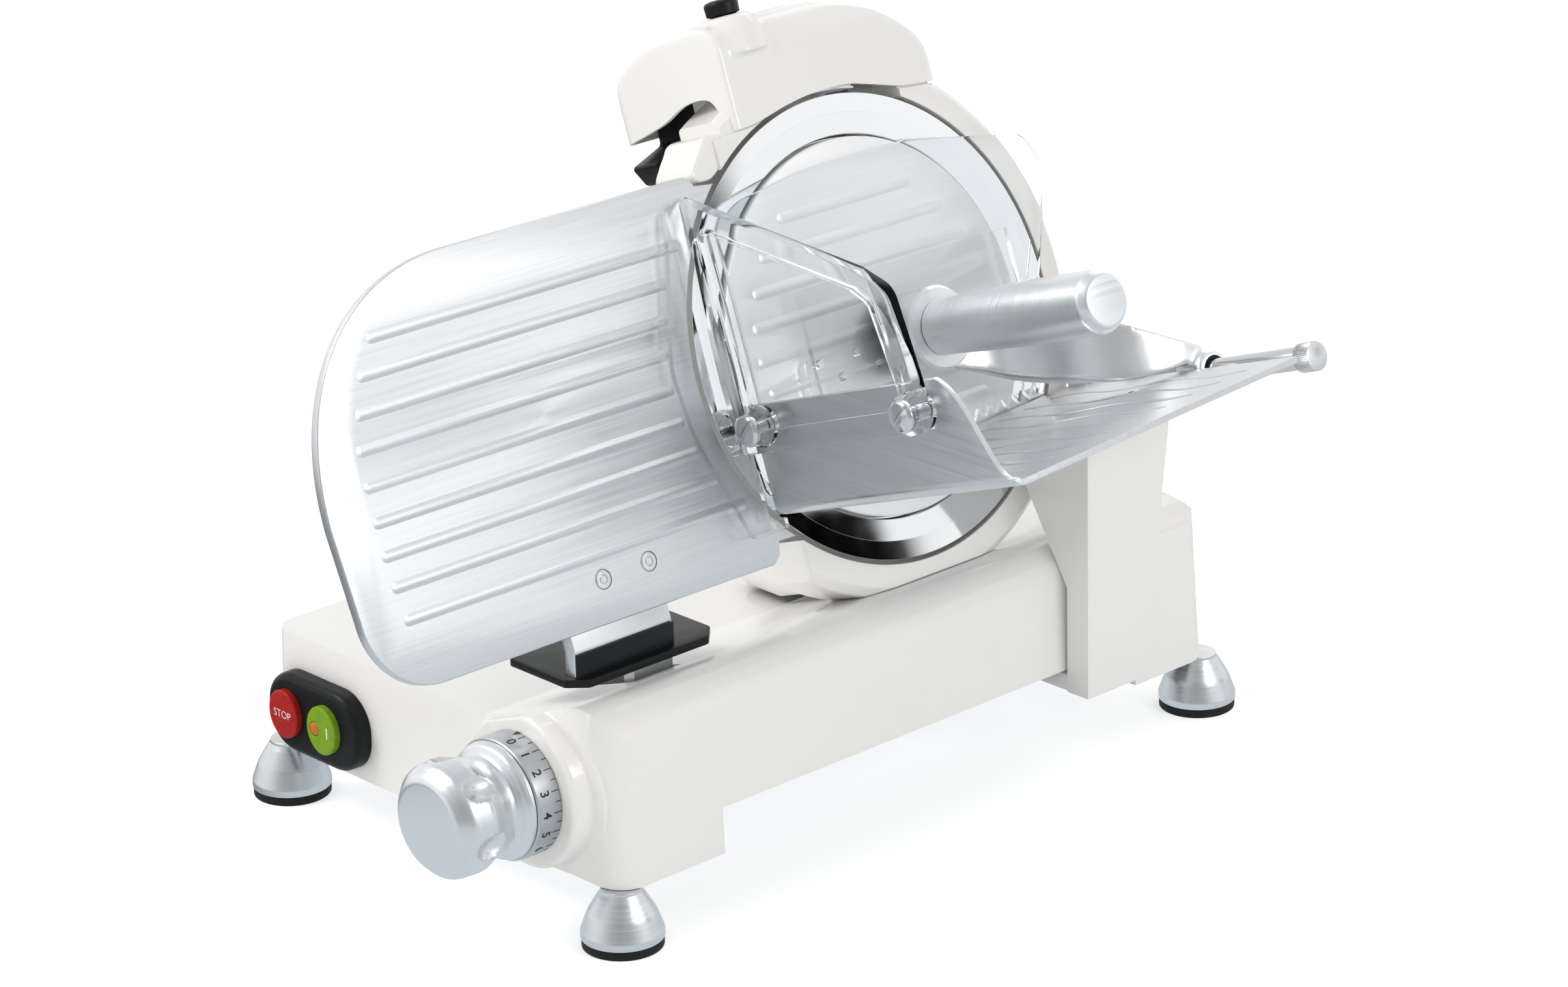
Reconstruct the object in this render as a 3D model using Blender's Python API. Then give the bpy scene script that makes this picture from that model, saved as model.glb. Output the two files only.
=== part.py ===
"""A food slicer: tilted round blade, gauge plate, sliding tray with a pusher."""
import math

import bmesh
import bpy
from mathutils import Vector

# Driving dimensions, in metres

BLADE_TILT = math.radians(19.23)
BLADE_R = 0.125
FORM_UNIT_SHARE = 0.8
FORM_UNIT = BLADE_R * FORM_UNIT_SHARE
BLADE_X = 0.07205
BLADE_Y = 0.0319
BLADE_Z = 0.25585

RIM_ROOM = 0.0003
CUT_OVERRUN = 0.002

FOOT_X = 0.1373
FOOT_Y = 0.2158
PAD_R = 0.0213
PAD_H = 0.0047
CONE_BOTTOM_R = 0.02175
CONE_SHOULDER_R = 0.0178
CONE_WAIST_R = 0.0117
CONE_TOP_R = 0.0093
CONE_BOTTOM = 0.005
CONE_SHOULDER = 0.0187
CONE_WAIST = 0.0291
CONE_TOP = 0.0323

BASE_LEFT = -0.1381
BASE_RIGHT = 0.1469
BASE_FRONT = -0.2245
BASE_REAR = 0.2192
BASE_BOTTOM = 0.0326
BASE_DECK = 0.1018
BASE_CEILING = 0.1375
BASE_DRAFT = 0.004
BASE_WALL = 0.0045
RAMP_START = 0.045
RAMP_FILLET = 0.006
BASE_EDGE_R = 0.007
BASE_CREST_R = 0.022
BASE_REAR_R = 0.040
BASE_CORNER_R = 0.014
BASE_FRONT_CORNER_R = 0.020
NOTCH_Z = 0.0579
NOTCH_FRONT = -0.1528
NOTCH_REAR = 0.155
NOTCH_X = 0.1385
FOOT_LUG_R = 0.0115
FOOT_LUG_TOP = 0.052

COVER_Z = 0.0342
COVER_T = 0.0015
COVER_EDGE = 0.007
COVER_RIGHT = 0.096
POST_R = 0.0055
POST_X = (-0.110, 0.082)
POST_Y = (-0.085, 0.165)

KNOB_X = 0.088
KNOB_Z = 0.077
KNOB_FACE_Y = -0.2995
KNOB_FACE_R = 0.025
KNOB_R = 0.031
KNOB_NECK_R = 0.0255
KNOB_FLANGE_R = 0.0314
KNOB_DOME = 0.007
KNOB_GRIP_END = 0.024
KNOB_NECK_START = 0.0350
KNOB_NECK_END = 0.0410
KNOB_END = 0.0455
KNOB_SCOOP_R = 0.0085
KNOB_SCOOP_REACH = 0.036
KNOB_SCOOP_DEEP = 0.004
DIAL_R = 0.0327
DIAL_BEVEL = 0.001
DIAL_BORE_R = 0.0063
DIAL_START = 0.0458
DIAL_END = 0.0610
BOSS_FRONT = -0.238
BOSS_R = 0.042
BOSS_FOOT_R = 0.049
BOSS_EDGE_R = 0.004
SHAFT_R = 0.005
SHAFT_HOLE_R = 0.0054
SHAFT_REAR_Y = -0.123
CAM_FRONT_Y = -0.137
CAM_REAR_Y = -0.129
CAM_MAX_R = 0.024
CAM_RISE = 0.015
CAM_TURN = math.radians(300)
CAM_HUB_R = 0.009

SWITCH_LEFT = -0.130
SWITCH_RIGHT = -0.052
SWITCH_LOW = 0.0375
SWITCH_HIGH = 0.0825
SWITCH_FACE = -0.2345
SWITCH_SEAT = -0.2248
SWITCH_REAR = -0.206
SWITCH_LIP = 0.006
SWITCH_CORNER_R = 0.0205
STOP_X = -0.1115
START_X = -0.0785
BUTTON_Z = 0.060
BUTTON_RX = 0.0122
BUTTON_RZ = 0.0138
BUTTON_FRONT = -0.2385
BUTTON_SKIRT = -0.2255
BUTTON_STEM_R = 0.004
BUTTON_REAR = -0.211
BUTTON_TRAVEL = 0.003
BUTTON_ROOM = 0.0004
BUTTON_WELL = -0.2205
LAMP_R = 0.0026
LAMP_OFFSET = 0.0052
LAMP_PROUD = 0.0007
LAMP_SEAT = 0.002

BAR_X = 0.100
BAR_Y = -0.178
BAR_Z = 0.101
BAR_R = 0.005
BAR_BACK = -0.0405
BAR_AHEAD = 0.0265
BAR_LUG_BACK = 0.0335
BAR_LUG_AHEAD = 0.0185
BAR_LUG_T = 0.0085
BAR_LUG_HALF = 0.010
BAR_LUG_LOW = -0.010
BAR_LUG_HIGH = 0.016
SLIDE_BACK = -0.015
SLIDE_AHEAD = 0.015
SLIDE_FRONT = -0.0365
SLIDE_REAR = 0.036
SLIDE_HALF = 0.0115
SLIDE_BORE_R = 0.0053
ARM_BACK = 0.003
ARM_AHEAD = 0.014
ARM_LOW = -0.024
ARM_FRONT = 0.030
ARM_REAR = 0.0385
PIN_R = 0.0025
PIN_SEAT = 0.008
PIN_ROOM = 0.0005

GAUGE_OUTER = -0.0005
GAUGE_INNER = -0.0065
GAUGE_TOP = 0.104
GAUGE_ARC_ROOM = 0.0025
GAUGE_ARC_R = BLADE_R + GAUGE_ARC_ROOM
GAUGE_EGG_Y = -0.260
GAUGE_EGG_Z = -0.014
GAUGE_EGG_RY = 0.111
GAUGE_EGG_RZ = 0.118
GAUGE_TOE_Y = -0.328
GAUGE_TOE_Z = -0.062
GAUGE_TOE_R = 0.040
GAUGE_BOTTOM = -0.1025
GAUGE_RIB_W = 0.006
GAUGE_RIB_PROUD = 0.0008
GAUGE_RIB_SINK = 0.001
GAUGE_RIVET_R = 0.005
GAUGE_RIVET_T = 0.0058
GAUGE_RIVET_PROUD = 0.0003
GAUGE_RIVET_Y = (-0.218, -0.187)
GAUGE_RIVET_Z = (-0.080, -0.079)
GAUGE_LIP_SHARES = [(-1.07, -1.03), (-1.02, -0.99), (-1.00, -0.92), (-0.88, -0.922)]
GAUGE_NOTCH_SHARES = [(-0.81, 0.94), (-0.96, 0.98), (-0.99, 1.02), (-1.02, 1.04)]
GAUGE_RIB_V_SHARES = [0.71, 0.54, 0.36, 0.19, 0.01, -0.17, -0.34, -0.50, -0.67]
GAUGE_RIB_START_SHARES = [-3.22, -3.33, -3.40, -3.45, -3.46, -3.46, -3.46, -3.45, -3.43]
GAUGE_RIB_END_SHARES = [-1.16, -1.29, -1.36, -1.41, -1.43, -1.42, -1.37, -1.28, -1.16]

BRACKET_FRONT = -0.243
BRACKET_REAR = -0.177
BRACKET_OUTER = -0.0068
BRACKET_T = 0.008
BRACKET_BEND = -0.112
BRACKET_HEAD = -0.062
BRACKET_WAIST = -0.204
BRACKET_WAIST_LOW = 0.107
LEG_LOW_Z = 0.0925
SHROUD_LEFT = 0.057
SHROUD_RIGHT = 0.1075
SHROUD_FRONT = -0.2165
SHROUD_REAR = -0.117
SHROUD_TOP = 0.1345
SHROUD_T = 0.0045
SHROUD_CHAMFER = 0.010
SLOT_LEFT = 0.0775
SLOT_RIGHT = 0.1055
SLOT_ROOM = 0.003

RAIL_X = 0.125
RAIL_Z = 0.0655
RAIL_R = 0.006
RAIL_FRONT = -0.214
RAIL_REAR = 0.209
RAIL_LUG_FRONT = -0.202
RAIL_LUG_REAR = 0.197
RAIL_LUG_HALF = 0.0115
WIRE_HOLE_X = 0.005
WIRE_HOLE_Y = 0.030
WIRE_HOLE_R = 0.006
GLAND_X = -0.100
GLAND_Z = 0.060
GLAND_HOLE_R = 0.0085

BLADE_BEVEL_W = 0.010
BLADE_BEVEL_R = BLADE_R - BLADE_BEVEL_W
BLADE_BEVEL_DEEP = 0.0008
BLADE_RING_W = 0.0117
BLADE_STEP_R = BLADE_BEVEL_R - BLADE_RING_W
BLADE_STEP_DEEP = 0.0022
BLADE_STEP_W = 0.0005
BLADE_DISH_R = BLADE_STEP_R - BLADE_STEP_W
BLADE_DISH = 0.0085
BLADE_BACK = 0.012
BLADE_BACK_W = 0.021
BLADE_BACK_R = BLADE_R - BLADE_BACK_W
BLADE_HEEL_W = 0.007
BLADE_HEEL_R = BLADE_R - BLADE_HEEL_W
BLADE_HEEL = 0.0045
BLADE_EDGE_T = 0.0004
BLADE_BORE_R = 0.0103
DISC_ROOM = 0.001
DISC_R = BLADE_DISH_R - DISC_ROOM
DISC_FRONT = 0.0003
DISC_T = 0.002
DISC_RIM = -0.0078
DISC_RIM_T = 0.0025
DISC_EDGE = 0.0008
DISC_BOSS_R = 0.009
DISC_BOSS = -0.0082
DISC_THREAD_R = 0.0044
DISC_RIB_PROUD = 0.0008
DISC_RIB_EDGE = 0.0175
DISC_RIB_PITCH_SHARE = 0.204
DISC_RIB_PITCH = (DISC_R - DISC_RIB_EDGE) * DISC_RIB_PITCH_SHARE
TIE_R = 0.004
TIE_FRONT = -0.0033
TIE_KNOB_R = 0.014
TIE_KNOB_NECK_R = 0.0085
TIE_KNOB_FRONT = -0.1123
TIE_KNOB_STEP = -0.1150
TIE_KNOB_REAR = -0.1320
TIE_KNOB_EDGE = 0.002
PULLEY_R = 0.045
PULLEY_GROOVE = 0.0012
PULLEY_FRONT = -0.0150
PULLEY_REAR = -0.0260
PULLEY_RIM_R = 0.040
PULLEY_WEB = -0.0190
PULLEY_SEAT = -0.0123
PULLEY_SEAT_R = 0.030
PULLEY_SPIGOT_R = 0.010
PULLEY_SPIGOT = -0.0092
PULLEY_HUB_R = 0.017
PULLEY_HUB = -0.0282
AXLE_R = 0.0085
AXLE_BORE_R = 0.0045
AXLE_FRONT = -0.0095
AXLE_REAR = -0.0625
BEARING_R = 0.0173
BEARING_BORE_R = 0.0088
BEARING_RACE = 0.0022
BEARING_GROOVE = 0.0006
BEARING_W = 0.024
BEARING_START = -0.0365
GUARD_ROOM = 0.0025
GUARD_INNER_R = BLADE_R + GUARD_ROOM
GUARD_WALL = 0.0175
GUARD_OUTER_R = GUARD_INNER_R + GUARD_WALL
GUARD_LIP = 0.0008
GUARD_FACE_W = 0.005
GUARD_FACE_R = GUARD_OUTER_R - GUARD_FACE_W
GUARD_FACE = 0.0003
GUARD_CHEEK_W = 0.0012
GUARD_CHEEK_R = GUARD_OUTER_R - GUARD_CHEEK_W
GUARD_CHEEK = 0.0035
GUARD_SIDE = 0.008
GUARD_DEEP = 0.034
WEB_T = 0.004
WEB_HOLE_R = 0.014
WEB_LEFT_ROOM = 0.003
WEB_LEFT_R = BLADE_R - WEB_LEFT_ROOM
GUARD_FLAT = -0.1362
GUARD_LEFT_LOW = -0.084
GUARD_LEFT_HIGH = -0.076
GUARD_GAP_LEFT = -0.0665
GUARD_GAP_RIGHT = 0.088
GUARD_GAP_LOW = 0.105
GUARD_HORN_FRONT = -0.002
GUARD_HORN_SHARES = [(-0.94, 1.06), (-0.935, 0.995), (-0.805, 0.995), (-0.66, 1.095),
                     (-0.52, 1.172), (-0.625, 1.205), (-0.80, 1.21)]
BOSS_BEARING_R = 0.0235
BOSS_BORE_R = 0.0176
BOSS_SHOULDER = 0.0355
BOSS_END = 0.064
MOTOR_Z = -0.085
MOTOR_R = 0.042
MOTOR_FRONT = -0.0345
MOTOR_REAR = -0.098
MOTOR_EDGE = 0.005
MOTOR_PULLEY_R = 0.012
MOTOR_SHAFT_R = 0.005
MOTOR_HOLE_R = 0.0145
MOTOR_SHAFT_END = -0.0342
BELT_T = 0.002
BELT_ROOM = 0.0003
BELT_EDGE = 0.0005
TOWER_WALL = 0.004
TOWER_ROOM = 0.006
TOWER_HALF = MOTOR_R + TOWER_ROOM + TOWER_WALL
TOWER_TOP = 0.048
TOWER_REAR = -0.112
TOWER_FRONT = -0.0345
TOWER_TOP_R = 0.032
TOWER_SIDE_R = 0.016
TIE_HOLE_R = 0.0046
GLAND_R = 0.008
GLAND_NUT_R = 0.0125
GLAND_TIP_R = 0.0062
GLAND_BORE_R = 0.004
GLAND_SEAT = BASE_REAR
GLAND_STEM_L = 0.0142
GLAND_NUT_L = 0.0063
GLAND_TIP_L = 0.0080
GLAND_INNER = GLAND_SEAT - GLAND_STEM_L
GLAND_NUT = GLAND_SEAT + GLAND_NUT_L
GLAND_TIP = GLAND_NUT + GLAND_TIP_L
LUG_FRONT = -0.0338
LUG_REAR = -0.060
LUG_LEFT = 0.018
LUG_RIGHT = 0.042
LUG_LOW = 0.060
LUG_HIGH = 0.100
MAST_X = -0.050
MAST_Y = 0.030
MAST_R = 0.005
MAST_LOW = 0.064
MAST_HIGH = 0.1545
HOOD_FRONT = 0.002
HOOD_REAR = -0.077
HOOD_SIDE_R = 0.012
HOOD_WALL = 0.0027
HOOD_LOW = 0.100
HOOD_CENTRE_Y = 0.0100
HOOD_SHRINK_SHARE = 0.963
HOOD_LOWER_SHARES = [(-0.66, 1.39), (-0.60, 1.22), (-0.41, 1.205), (-0.20, 1.256), (0.04, 1.273),
                     (0.38, 1.25), (0.62, 1.19), (0.76, 1.17), (0.86, 1.165)]
HOOD_UPPER_SHARES = [(0.86, 1.30), (0.78, 1.44), (0.61, 1.57), (0.42, 1.67), (0.24, 1.73),
                     (0.09, 1.76), (-0.15, 1.765), (-0.58, 1.765), (-0.66, 1.71)]
HOOD_END_SHARES = [(0.02, 1.00), (0.02, 1.70), (-0.04, 1.765), (-0.28, 1.76), (-0.53, 1.70),
                   (-0.70, 1.58), (-0.76, 1.48), (-0.77, 1.24), (-0.77, 1.00)]
CLAMP_X = -0.012
CLAMP_Y = -0.039
CLAMP_R = 0.0068
CLAMP_WELL_R = 0.0095
CLAMP_COLLAR_R = 0.009
CLAMP_COLLAR_LOW = 0.1745
CLAMP_COLLAR_HIGH = 0.1775
CLAMP_TOP = 0.1835
CLAMP_EDGE = 0.0012
CLAMP_STEM_R = 0.003
CLAMP_STEM_LOW = 0.148
YOKE_REAR = -0.060
YOKE_FRONT = -0.030
YOKE_LEFT = -0.058
YOKE_RIGHT = 0.050
YOKE_LOW = 0.146
YOKE_HIGH = 0.158
YOKE_MAST_HALF = 0.012
YOKE_MAST_LOW = 0.128
YOKE_EAR_FRONT = -0.003
YOKE_EAR_RIGHT = -0.042
YOKE_ARM_HALF = 0.008
YOKE_ARM_DROP = 0.0065
YOKE_STUD_R = 0.004
YOKE_STUD_TOP = 0.1675
YOKE_STUD_X = -0.045
YOKE_STUD_Y = (-0.032, 0.006)
STONE_Y = 0.042
STONE_Z = 0.1272
STONE_R = 0.010
STONE_FRONT = -0.012
STONE_T = 0.006
STONE_SPINDLE_R = 0.003
STONE_SPINDLE_REAR = -0.072
STONE_BUTTON_R = 0.0072
STONE_BUTTON_FRONT = -0.0705
STONE_BUTTON_REAR = -0.086
STONE_HOLE_R = 0.0078
GUTTER_FRONT = -0.048
GUTTER_REAR = -0.068
GUTTER_SHARES = [(-0.80, 1.125), (-0.73, 1.015), (-0.52, 0.99), (-0.44, 1.08),
                 (-0.44, 1.457), (-0.56, 1.457), (-0.57, 1.205)]

COLUMN_RIGHT = 0.1635
COLUMN_WALL_X = 0.1477
COLUMN_LOW = 0.0457
COLUMN_FRONT = 0.0996
COLUMN_REAR = 0.1465
COLUMN_REACH_X = 0.084
COLUMN_LEFT_SHARES = [(0.84, 2.40), (0.84, 1.70), (1.155, 1.605), (1.477, 1.065)]
COLUMN_REAR_SHARES = [(1.58, 1.48), (1.635, 1.91), (1.645, 2.45)]
COLUMN_BLADE_ROOM = 0.0036
COLUMN_FOOT_LEFT = 0.105
COLUMN_FOOT_TOP = 0.0555
CARRIER_LEFT = 0.1135
CARRIER_RIGHT = 0.1365
CARRIER_LOW = 0.0558
CARRIER_HIGH = 0.0750
TRAY_RISE = math.radians(3.2)
TRAY_LEFT = 0.004
TRAY_RIGHT = 0.188
TRAY_FRONT = -0.101
TRAY_T = 0.0033
TRAY_LOW = -0.0796
TRAY_WALL_TOP = -0.019
TRAY_REAR = 0.125
TRAY_REAR_LEFT = 0.1195
TRAY_REAR_RIGHT = 0.112
TRAY_CURVE_SHARES = [(1.465, -0.10), (1.51, -0.19), (1.58, -0.22), (1.67, -0.41),
                     (1.71, -0.54), (1.79, -0.70), (1.86, -0.755), (2.0, -0.755), (2.0, -0.10)]
BED_SCREW_X = (0.098, 0.022, 0.095)
BED_SCREW_Y = (0.0931, 0.1973, 0.1813)
BED_SCREW_HEAD_R = 0.005
BED_SCREW_R = 0.0025
BED_SCREW_SINK = 0.0025
BED_SCREW_L = 0.010
PANE_LEFT = 0.003
PANE_T = 0.0035
PANE_FACE = -0.112
PANE_FLANGE_SHARES = [(-1.24, 0.89), (-1.13, 0.94), (-1.085, 0.94), (-1.085, -0.802),
                      (-0.97, -0.802), (-0.97, -0.86), (-1.21, -0.86), (-1.42, -0.27),
                      (-1.46, 0.10)]
PANE_SHEET_SHARES = [(0.03, 0.94), (1.28, 0.40), (1.40, 0.32), (1.475, -0.18),
                     (1.475, -0.35), (1.41, -0.43), (0.03, -0.43)]
PANE_OPEN_SHARES = [(0.10, 0.835), (1.24, 0.345), (1.345, 0.275), (1.41, -0.18),
                    (1.41, -0.31), (1.38, -0.365), (0.10, -0.365)]
PANE_RIM_FRONT = -0.1145
PANE_RIM_REAR = -0.1060
PANE_BOSS_X = (0.016, 0.136)
PANE_BOSS_Z = (-0.030, -0.034)
PANE_BOSS_R = 0.011
PANE_BOSS_REAR = -0.1013
PANE_HOLE_R = 0.0040
PANE_SCREW_R = 0.0036
PANE_SCREW_HEAD_R = 0.0086
PANE_SCREW_SEAT = -0.1148
PANE_SCREW_EDGE = -0.1175
PANE_SCREW_DOME = -0.1195
PANE_SCREW_TIP = -0.0962
PANE_SLOT_HALF = 0.0008
PANE_SLOT_DEEP = 0.0018
ROD_Y = 0.128
ROD_Z = -0.068
ROD_R = 0.0063
ROD_LEFT = 0.004
ROD_RIGHT = 0.1757
ROD_CAP_R = 0.008
ROD_CAP_LEFT = 0.176
ROD_CAP_RIGHT = 0.187
ROD_CAP_EDGE = 0.001
ROD_LUG_X = (0.005, 0.050)
ROD_LUG_W = (0.014, 0.020)
ROD_LUG_FRONT = 0.1205
ROD_LUG_REAR = 0.1380
ROD_LUG_LOW = -0.0800
ROD_LUG_HIGH = -0.0580
BUSH_LEFT = 0.0925
BUSH_RIGHT = 0.1115
BUSH_R = 0.0080
HUB_LEFT = 0.092
HUB_RIGHT = 0.112
HUB_R = 0.0115
GRIP_Y = 0.012
GRIP_Z = -0.008
COLLAR_LEFT = 0.0106
COLLAR_R = 0.0215
COLLAR_LIP = 0.030
COLLAR_LIP_R = 0.0225
COLLAR_RIGHT = 0.0380
COLLAR_EDGE = 0.0025
GRIP_R = 0.017
GRIP_LEFT = 0.0383
GRIP_RIGHT = 0.165
GRIP_SHARES = [(0.150, 0.383), (0.150, 0.480), (0.160, 0.700), (0.170, 1.020),
               (0.170, 1.550), (0.158, 1.620), (0.130, 1.650)]
ARM_HALF = 0.005
ARM_PATH_SHARES = [(1.02, 1.280), (1.01, 1.12), (0.94, 0.92), (0.75, 0.75), (0.50, 0.66),
                   (0.32, 0.55), (0.24, 0.40), (0.21, 0.22)]
ARM_SIDE_SHARES = [(1.33, -0.620), (1.12, -0.610), (0.80, -0.595), (0.45, -0.40),
                   (0.12, -0.24), (0.12, 0.07), (0.42, 0.03), (0.72, -0.20), (1.02, -0.40),
                   (1.33, -0.565)]
SHIELD_LEFT = 0.004
SHIELD_T = 0.003
SHIELD_SHARES = [(-0.95, 0.73), (-0.82, 0.83), (-0.62, 0.87), (-0.23, 0.91), (0.06, 0.92),
                 (0.44, 0.91), (0.91, 0.85), (1.31, 0.75), (1.41, 0.58), (1.32, 0.30),
                 (1.18, -0.03), (1.00, -0.06), (-0.60, -0.06), (-0.62, -0.66), (-0.94, -0.70)]
PLATE_LEFT = 0.0073
PLATE_T = 0.003
PLATE_FRONT = -0.055
PLATE_REAR = 0.100
PLATE_TOP = 0.030
PLATE_LOW_FRONT = -0.0705
PLATE_LOW_REAR = -0.0622
TOOTH_DEEP = 0.006
TOOTH_COUNT = 18
SPIKE_HALF = 0.0025
SPIKE_TIP = 0.0034
SPIKE_SINK = 0.0003
SPIKE_PITCH = 0.027
SPIKE_FIRST_Y = -0.050
SPIKE_FIRST_Z = -0.0095
SPIKE_ROW = -0.010

ROUND_STEPS = 24
WHEEL_STEPS = 48
SMALL_STEPS = 20
CORNER_STEPS = 5
SHARP_TURN = math.radians(32)


def clear_scene():
    for item in list(bpy.data.objects):
        bpy.data.objects.remove(item, do_unlink=True)


def paint(name, colour, metallic, roughness, see_through=0.0):
    stuff = bpy.data.materials.new(name)
    stuff.use_nodes = True
    shader = stuff.node_tree.nodes["Principled BSDF"]
    shader.inputs["Base Color"].default_value = (*colour, 1.0)
    shader.inputs["Metallic"].default_value = metallic
    shader.inputs["Roughness"].default_value = roughness
    shader.inputs["Transmission Weight"].default_value = see_through
    return stuff


def empty(name, parent=None, at=(0, 0, 0), turn=(0, 0, 0)):
    mark = bpy.data.objects.new(name, None)
    bpy.context.collection.objects.link(mark)
    mark.parent = parent
    mark.location = at
    mark.rotation_euler = turn
    return mark


def rounded(corners, steps=CORNER_STEPS):
    """Outline with each (x, y, radius) corner turned into an arc."""
    outline = []
    for i, (x, y, radius) in enumerate(corners):
        here = Vector((x, y))
        if radius == 0:
            outline.append((x, y))
            continue
        before = corners[i - 1]
        after = corners[(i + 1) % len(corners)]
        back = (Vector(before[:2]) - here).normalized()
        ahead = (Vector(after[:2]) - here).normalized()
        half = back.angle(ahead) / 2
        reach = radius / math.tan(half)
        centre = here + (back + ahead).normalized() * (radius / math.sin(half))
        first = here + back * reach - centre
        last = here + ahead * reach - centre
        start = math.atan2(first.y, first.x)
        sweep = (math.atan2(last.y, last.x) - start + math.pi) % (2 * math.pi) - math.pi
        for k in range(steps + 1):
            angle = start + sweep * k / steps
            outline.append((centre.x + radius * math.cos(angle),
                            centre.y + radius * math.sin(angle)))
    return outline


def rectangle(left, right, low, high, radius, steps=CORNER_STEPS):
    return rounded([(left, low, radius), (right, low, radius),
                    (right, high, radius), (left, high, radius)], steps)


def ellipse(x, y, radius_x, radius_y, steps=ROUND_STEPS):
    return [(x + radius_x * math.cos(2 * math.pi * k / steps),
             y + radius_y * math.sin(2 * math.pi * k / steps)) for k in range(steps)]


def prism(outline, low, high, plane):
    """Closed body of an outline in a plane, drawn out along the third axis."""
    first, second, along = {"XY": (0, 1, 2), "XZ": (0, 2, 1), "YZ": (1, 2, 0)}[plane]
    mesh = bmesh.new()
    ends = []
    for depth in (low, high):
        ring = []
        for a, b in outline:
            spot = [0, 0, 0]
            spot[first] = a
            spot[second] = b
            spot[along] = depth
            ring.append(mesh.verts.new(spot))
        ends.append(ring)
        mesh.faces.new(ring)
    for k in range(len(outline)):
        j = (k + 1) % len(outline)
        mesh.faces.new((ends[0][k], ends[0][j], ends[1][j], ends[1][k]))
    bmesh.ops.recalc_face_normals(mesh, faces=mesh.faces)
    return mesh


def block(x0, x1, y0, y1, z0, z1):
    return prism([(x0, y0), (x1, y0), (x1, y1), (x0, y1)], z0, z1, "XY")


def lathe(profile, axis, at=(0, 0), steps=ROUND_STEPS):
    """Closed body of a (radius, height) profile turned about an axis."""
    mesh = bmesh.new()
    order = {"X": (1, 2, 0), "Y": (0, 2, 1), "Z": (0, 1, 2)}[axis]
    rings = []
    for radius, height in profile:
        ring = []
        for k in range(steps if radius else 1):
            angle = 2 * math.pi * k / steps
            spot = [0, 0, 0]
            spot[order[0]] = at[0] + radius * math.cos(angle)
            spot[order[1]] = at[1] + radius * math.sin(angle)
            spot[order[2]] = height
            ring.append(mesh.verts.new(spot))
        rings.append(ring)
    for one, two in zip(rings, rings[1:] + rings[:1]):
        if len(one) == 1 and len(two) == 1:
            continue
        for k in range(steps):
            j = (k + 1) % steps
            corners = [one[k % len(one)], one[j % len(one)], two[j % len(two)], two[k % len(two)]]
            mesh.faces.new(list(dict.fromkeys(corners)))
    bmesh.ops.recalc_face_normals(mesh, faces=mesh.faces)
    return mesh


def rod(radius, low, high, axis, at=(0, 0), steps=ROUND_STEPS):
    return lathe([(0, low), (radius, low), (radius, high), (0, high)], axis, at, steps)


def piece(name, mesh, parent, stuff=None):
    data = bpy.data.meshes.new(name)
    mesh.to_mesh(data)
    mesh.free()
    data.polygons.foreach_set("use_smooth", [True] * len(data.polygons))
    data.set_sharp_from_angle(angle=SHARP_TURN)
    item = bpy.data.objects.new(name, data)
    bpy.context.collection.objects.link(item)
    item.parent = parent
    if stuff:
        data.materials.append(stuff)
    return item


def tool(mesh, parent):
    item = piece("tool", mesh, parent)
    item.hide_render = True
    item.display_type = "WIRE"
    return item


def change(item, other, operation):
    step = item.modifiers.new(operation.lower(), "BOOLEAN")
    step.solver = "EXACT"
    step.operation = operation
    step.object = other
    return item


def cut(item, mesh, parent=None):
    return change(item, tool(mesh, parent or item.parent), "DIFFERENCE")


def join(item, mesh, parent=None):
    return change(item, tool(mesh, parent or item.parent), "UNION")


def keep(item, mesh, parent=None):
    return change(item, tool(mesh, parent or item.parent), "INTERSECT")


def base_outline(inset, bottom):
    slope = math.tan(BLADE_TILT)
    right = BASE_RIGHT - inset
    deck = BASE_DECK - inset
    crest = deck + (right - BASE_DRAFT - RAMP_START) * slope
    edge = max(BASE_EDGE_R - inset, 0)
    shoulder = max(BASE_CREST_R - inset, 0)
    return rounded([(BASE_LEFT + inset, bottom, 0), (right, bottom, 0),
                    (right - BASE_DRAFT, crest, shoulder), (RAMP_START, deck, RAMP_FILLET),
                    (BASE_LEFT + BASE_DRAFT + inset, deck, edge)])


def base_shape(name, inset, bottom, root, stuff=None):
    """The outside of the base, or with an inset the space inside its walls."""
    body = piece(name, prism(base_outline(inset, bottom), BASE_FRONT + inset,
                             BASE_REAR - inset, "XZ"), root, stuff)
    roof = BASE_CEILING - inset
    side = rounded([(BASE_FRONT + inset, bottom - CUT_OVERRUN, 0),
                    (BASE_REAR - inset, bottom - CUT_OVERRUN, 0),
                    (BASE_REAR - BASE_DRAFT - inset, roof, BASE_REAR_R - inset),
                    (BASE_FRONT + inset, roof, 0)], 8)
    keep(body, prism(side, BASE_LEFT - CUT_OVERRUN, BASE_RIGHT + CUT_OVERRUN, "YZ"))
    left = BASE_LEFT + inset
    right = BASE_RIGHT - inset
    front = BASE_FRONT + inset
    rear = BASE_REAR - inset
    near = BASE_CORNER_R - inset
    plan = rounded([(left, front, near), (right, front, BASE_FRONT_CORNER_R - inset),
                    (right, rear, near), (left, rear, near)])
    keep(body, prism(plan, bottom - CUT_OVERRUN, BASE_CEILING + CUT_OVERRUN, "XY"))
    return body


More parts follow.
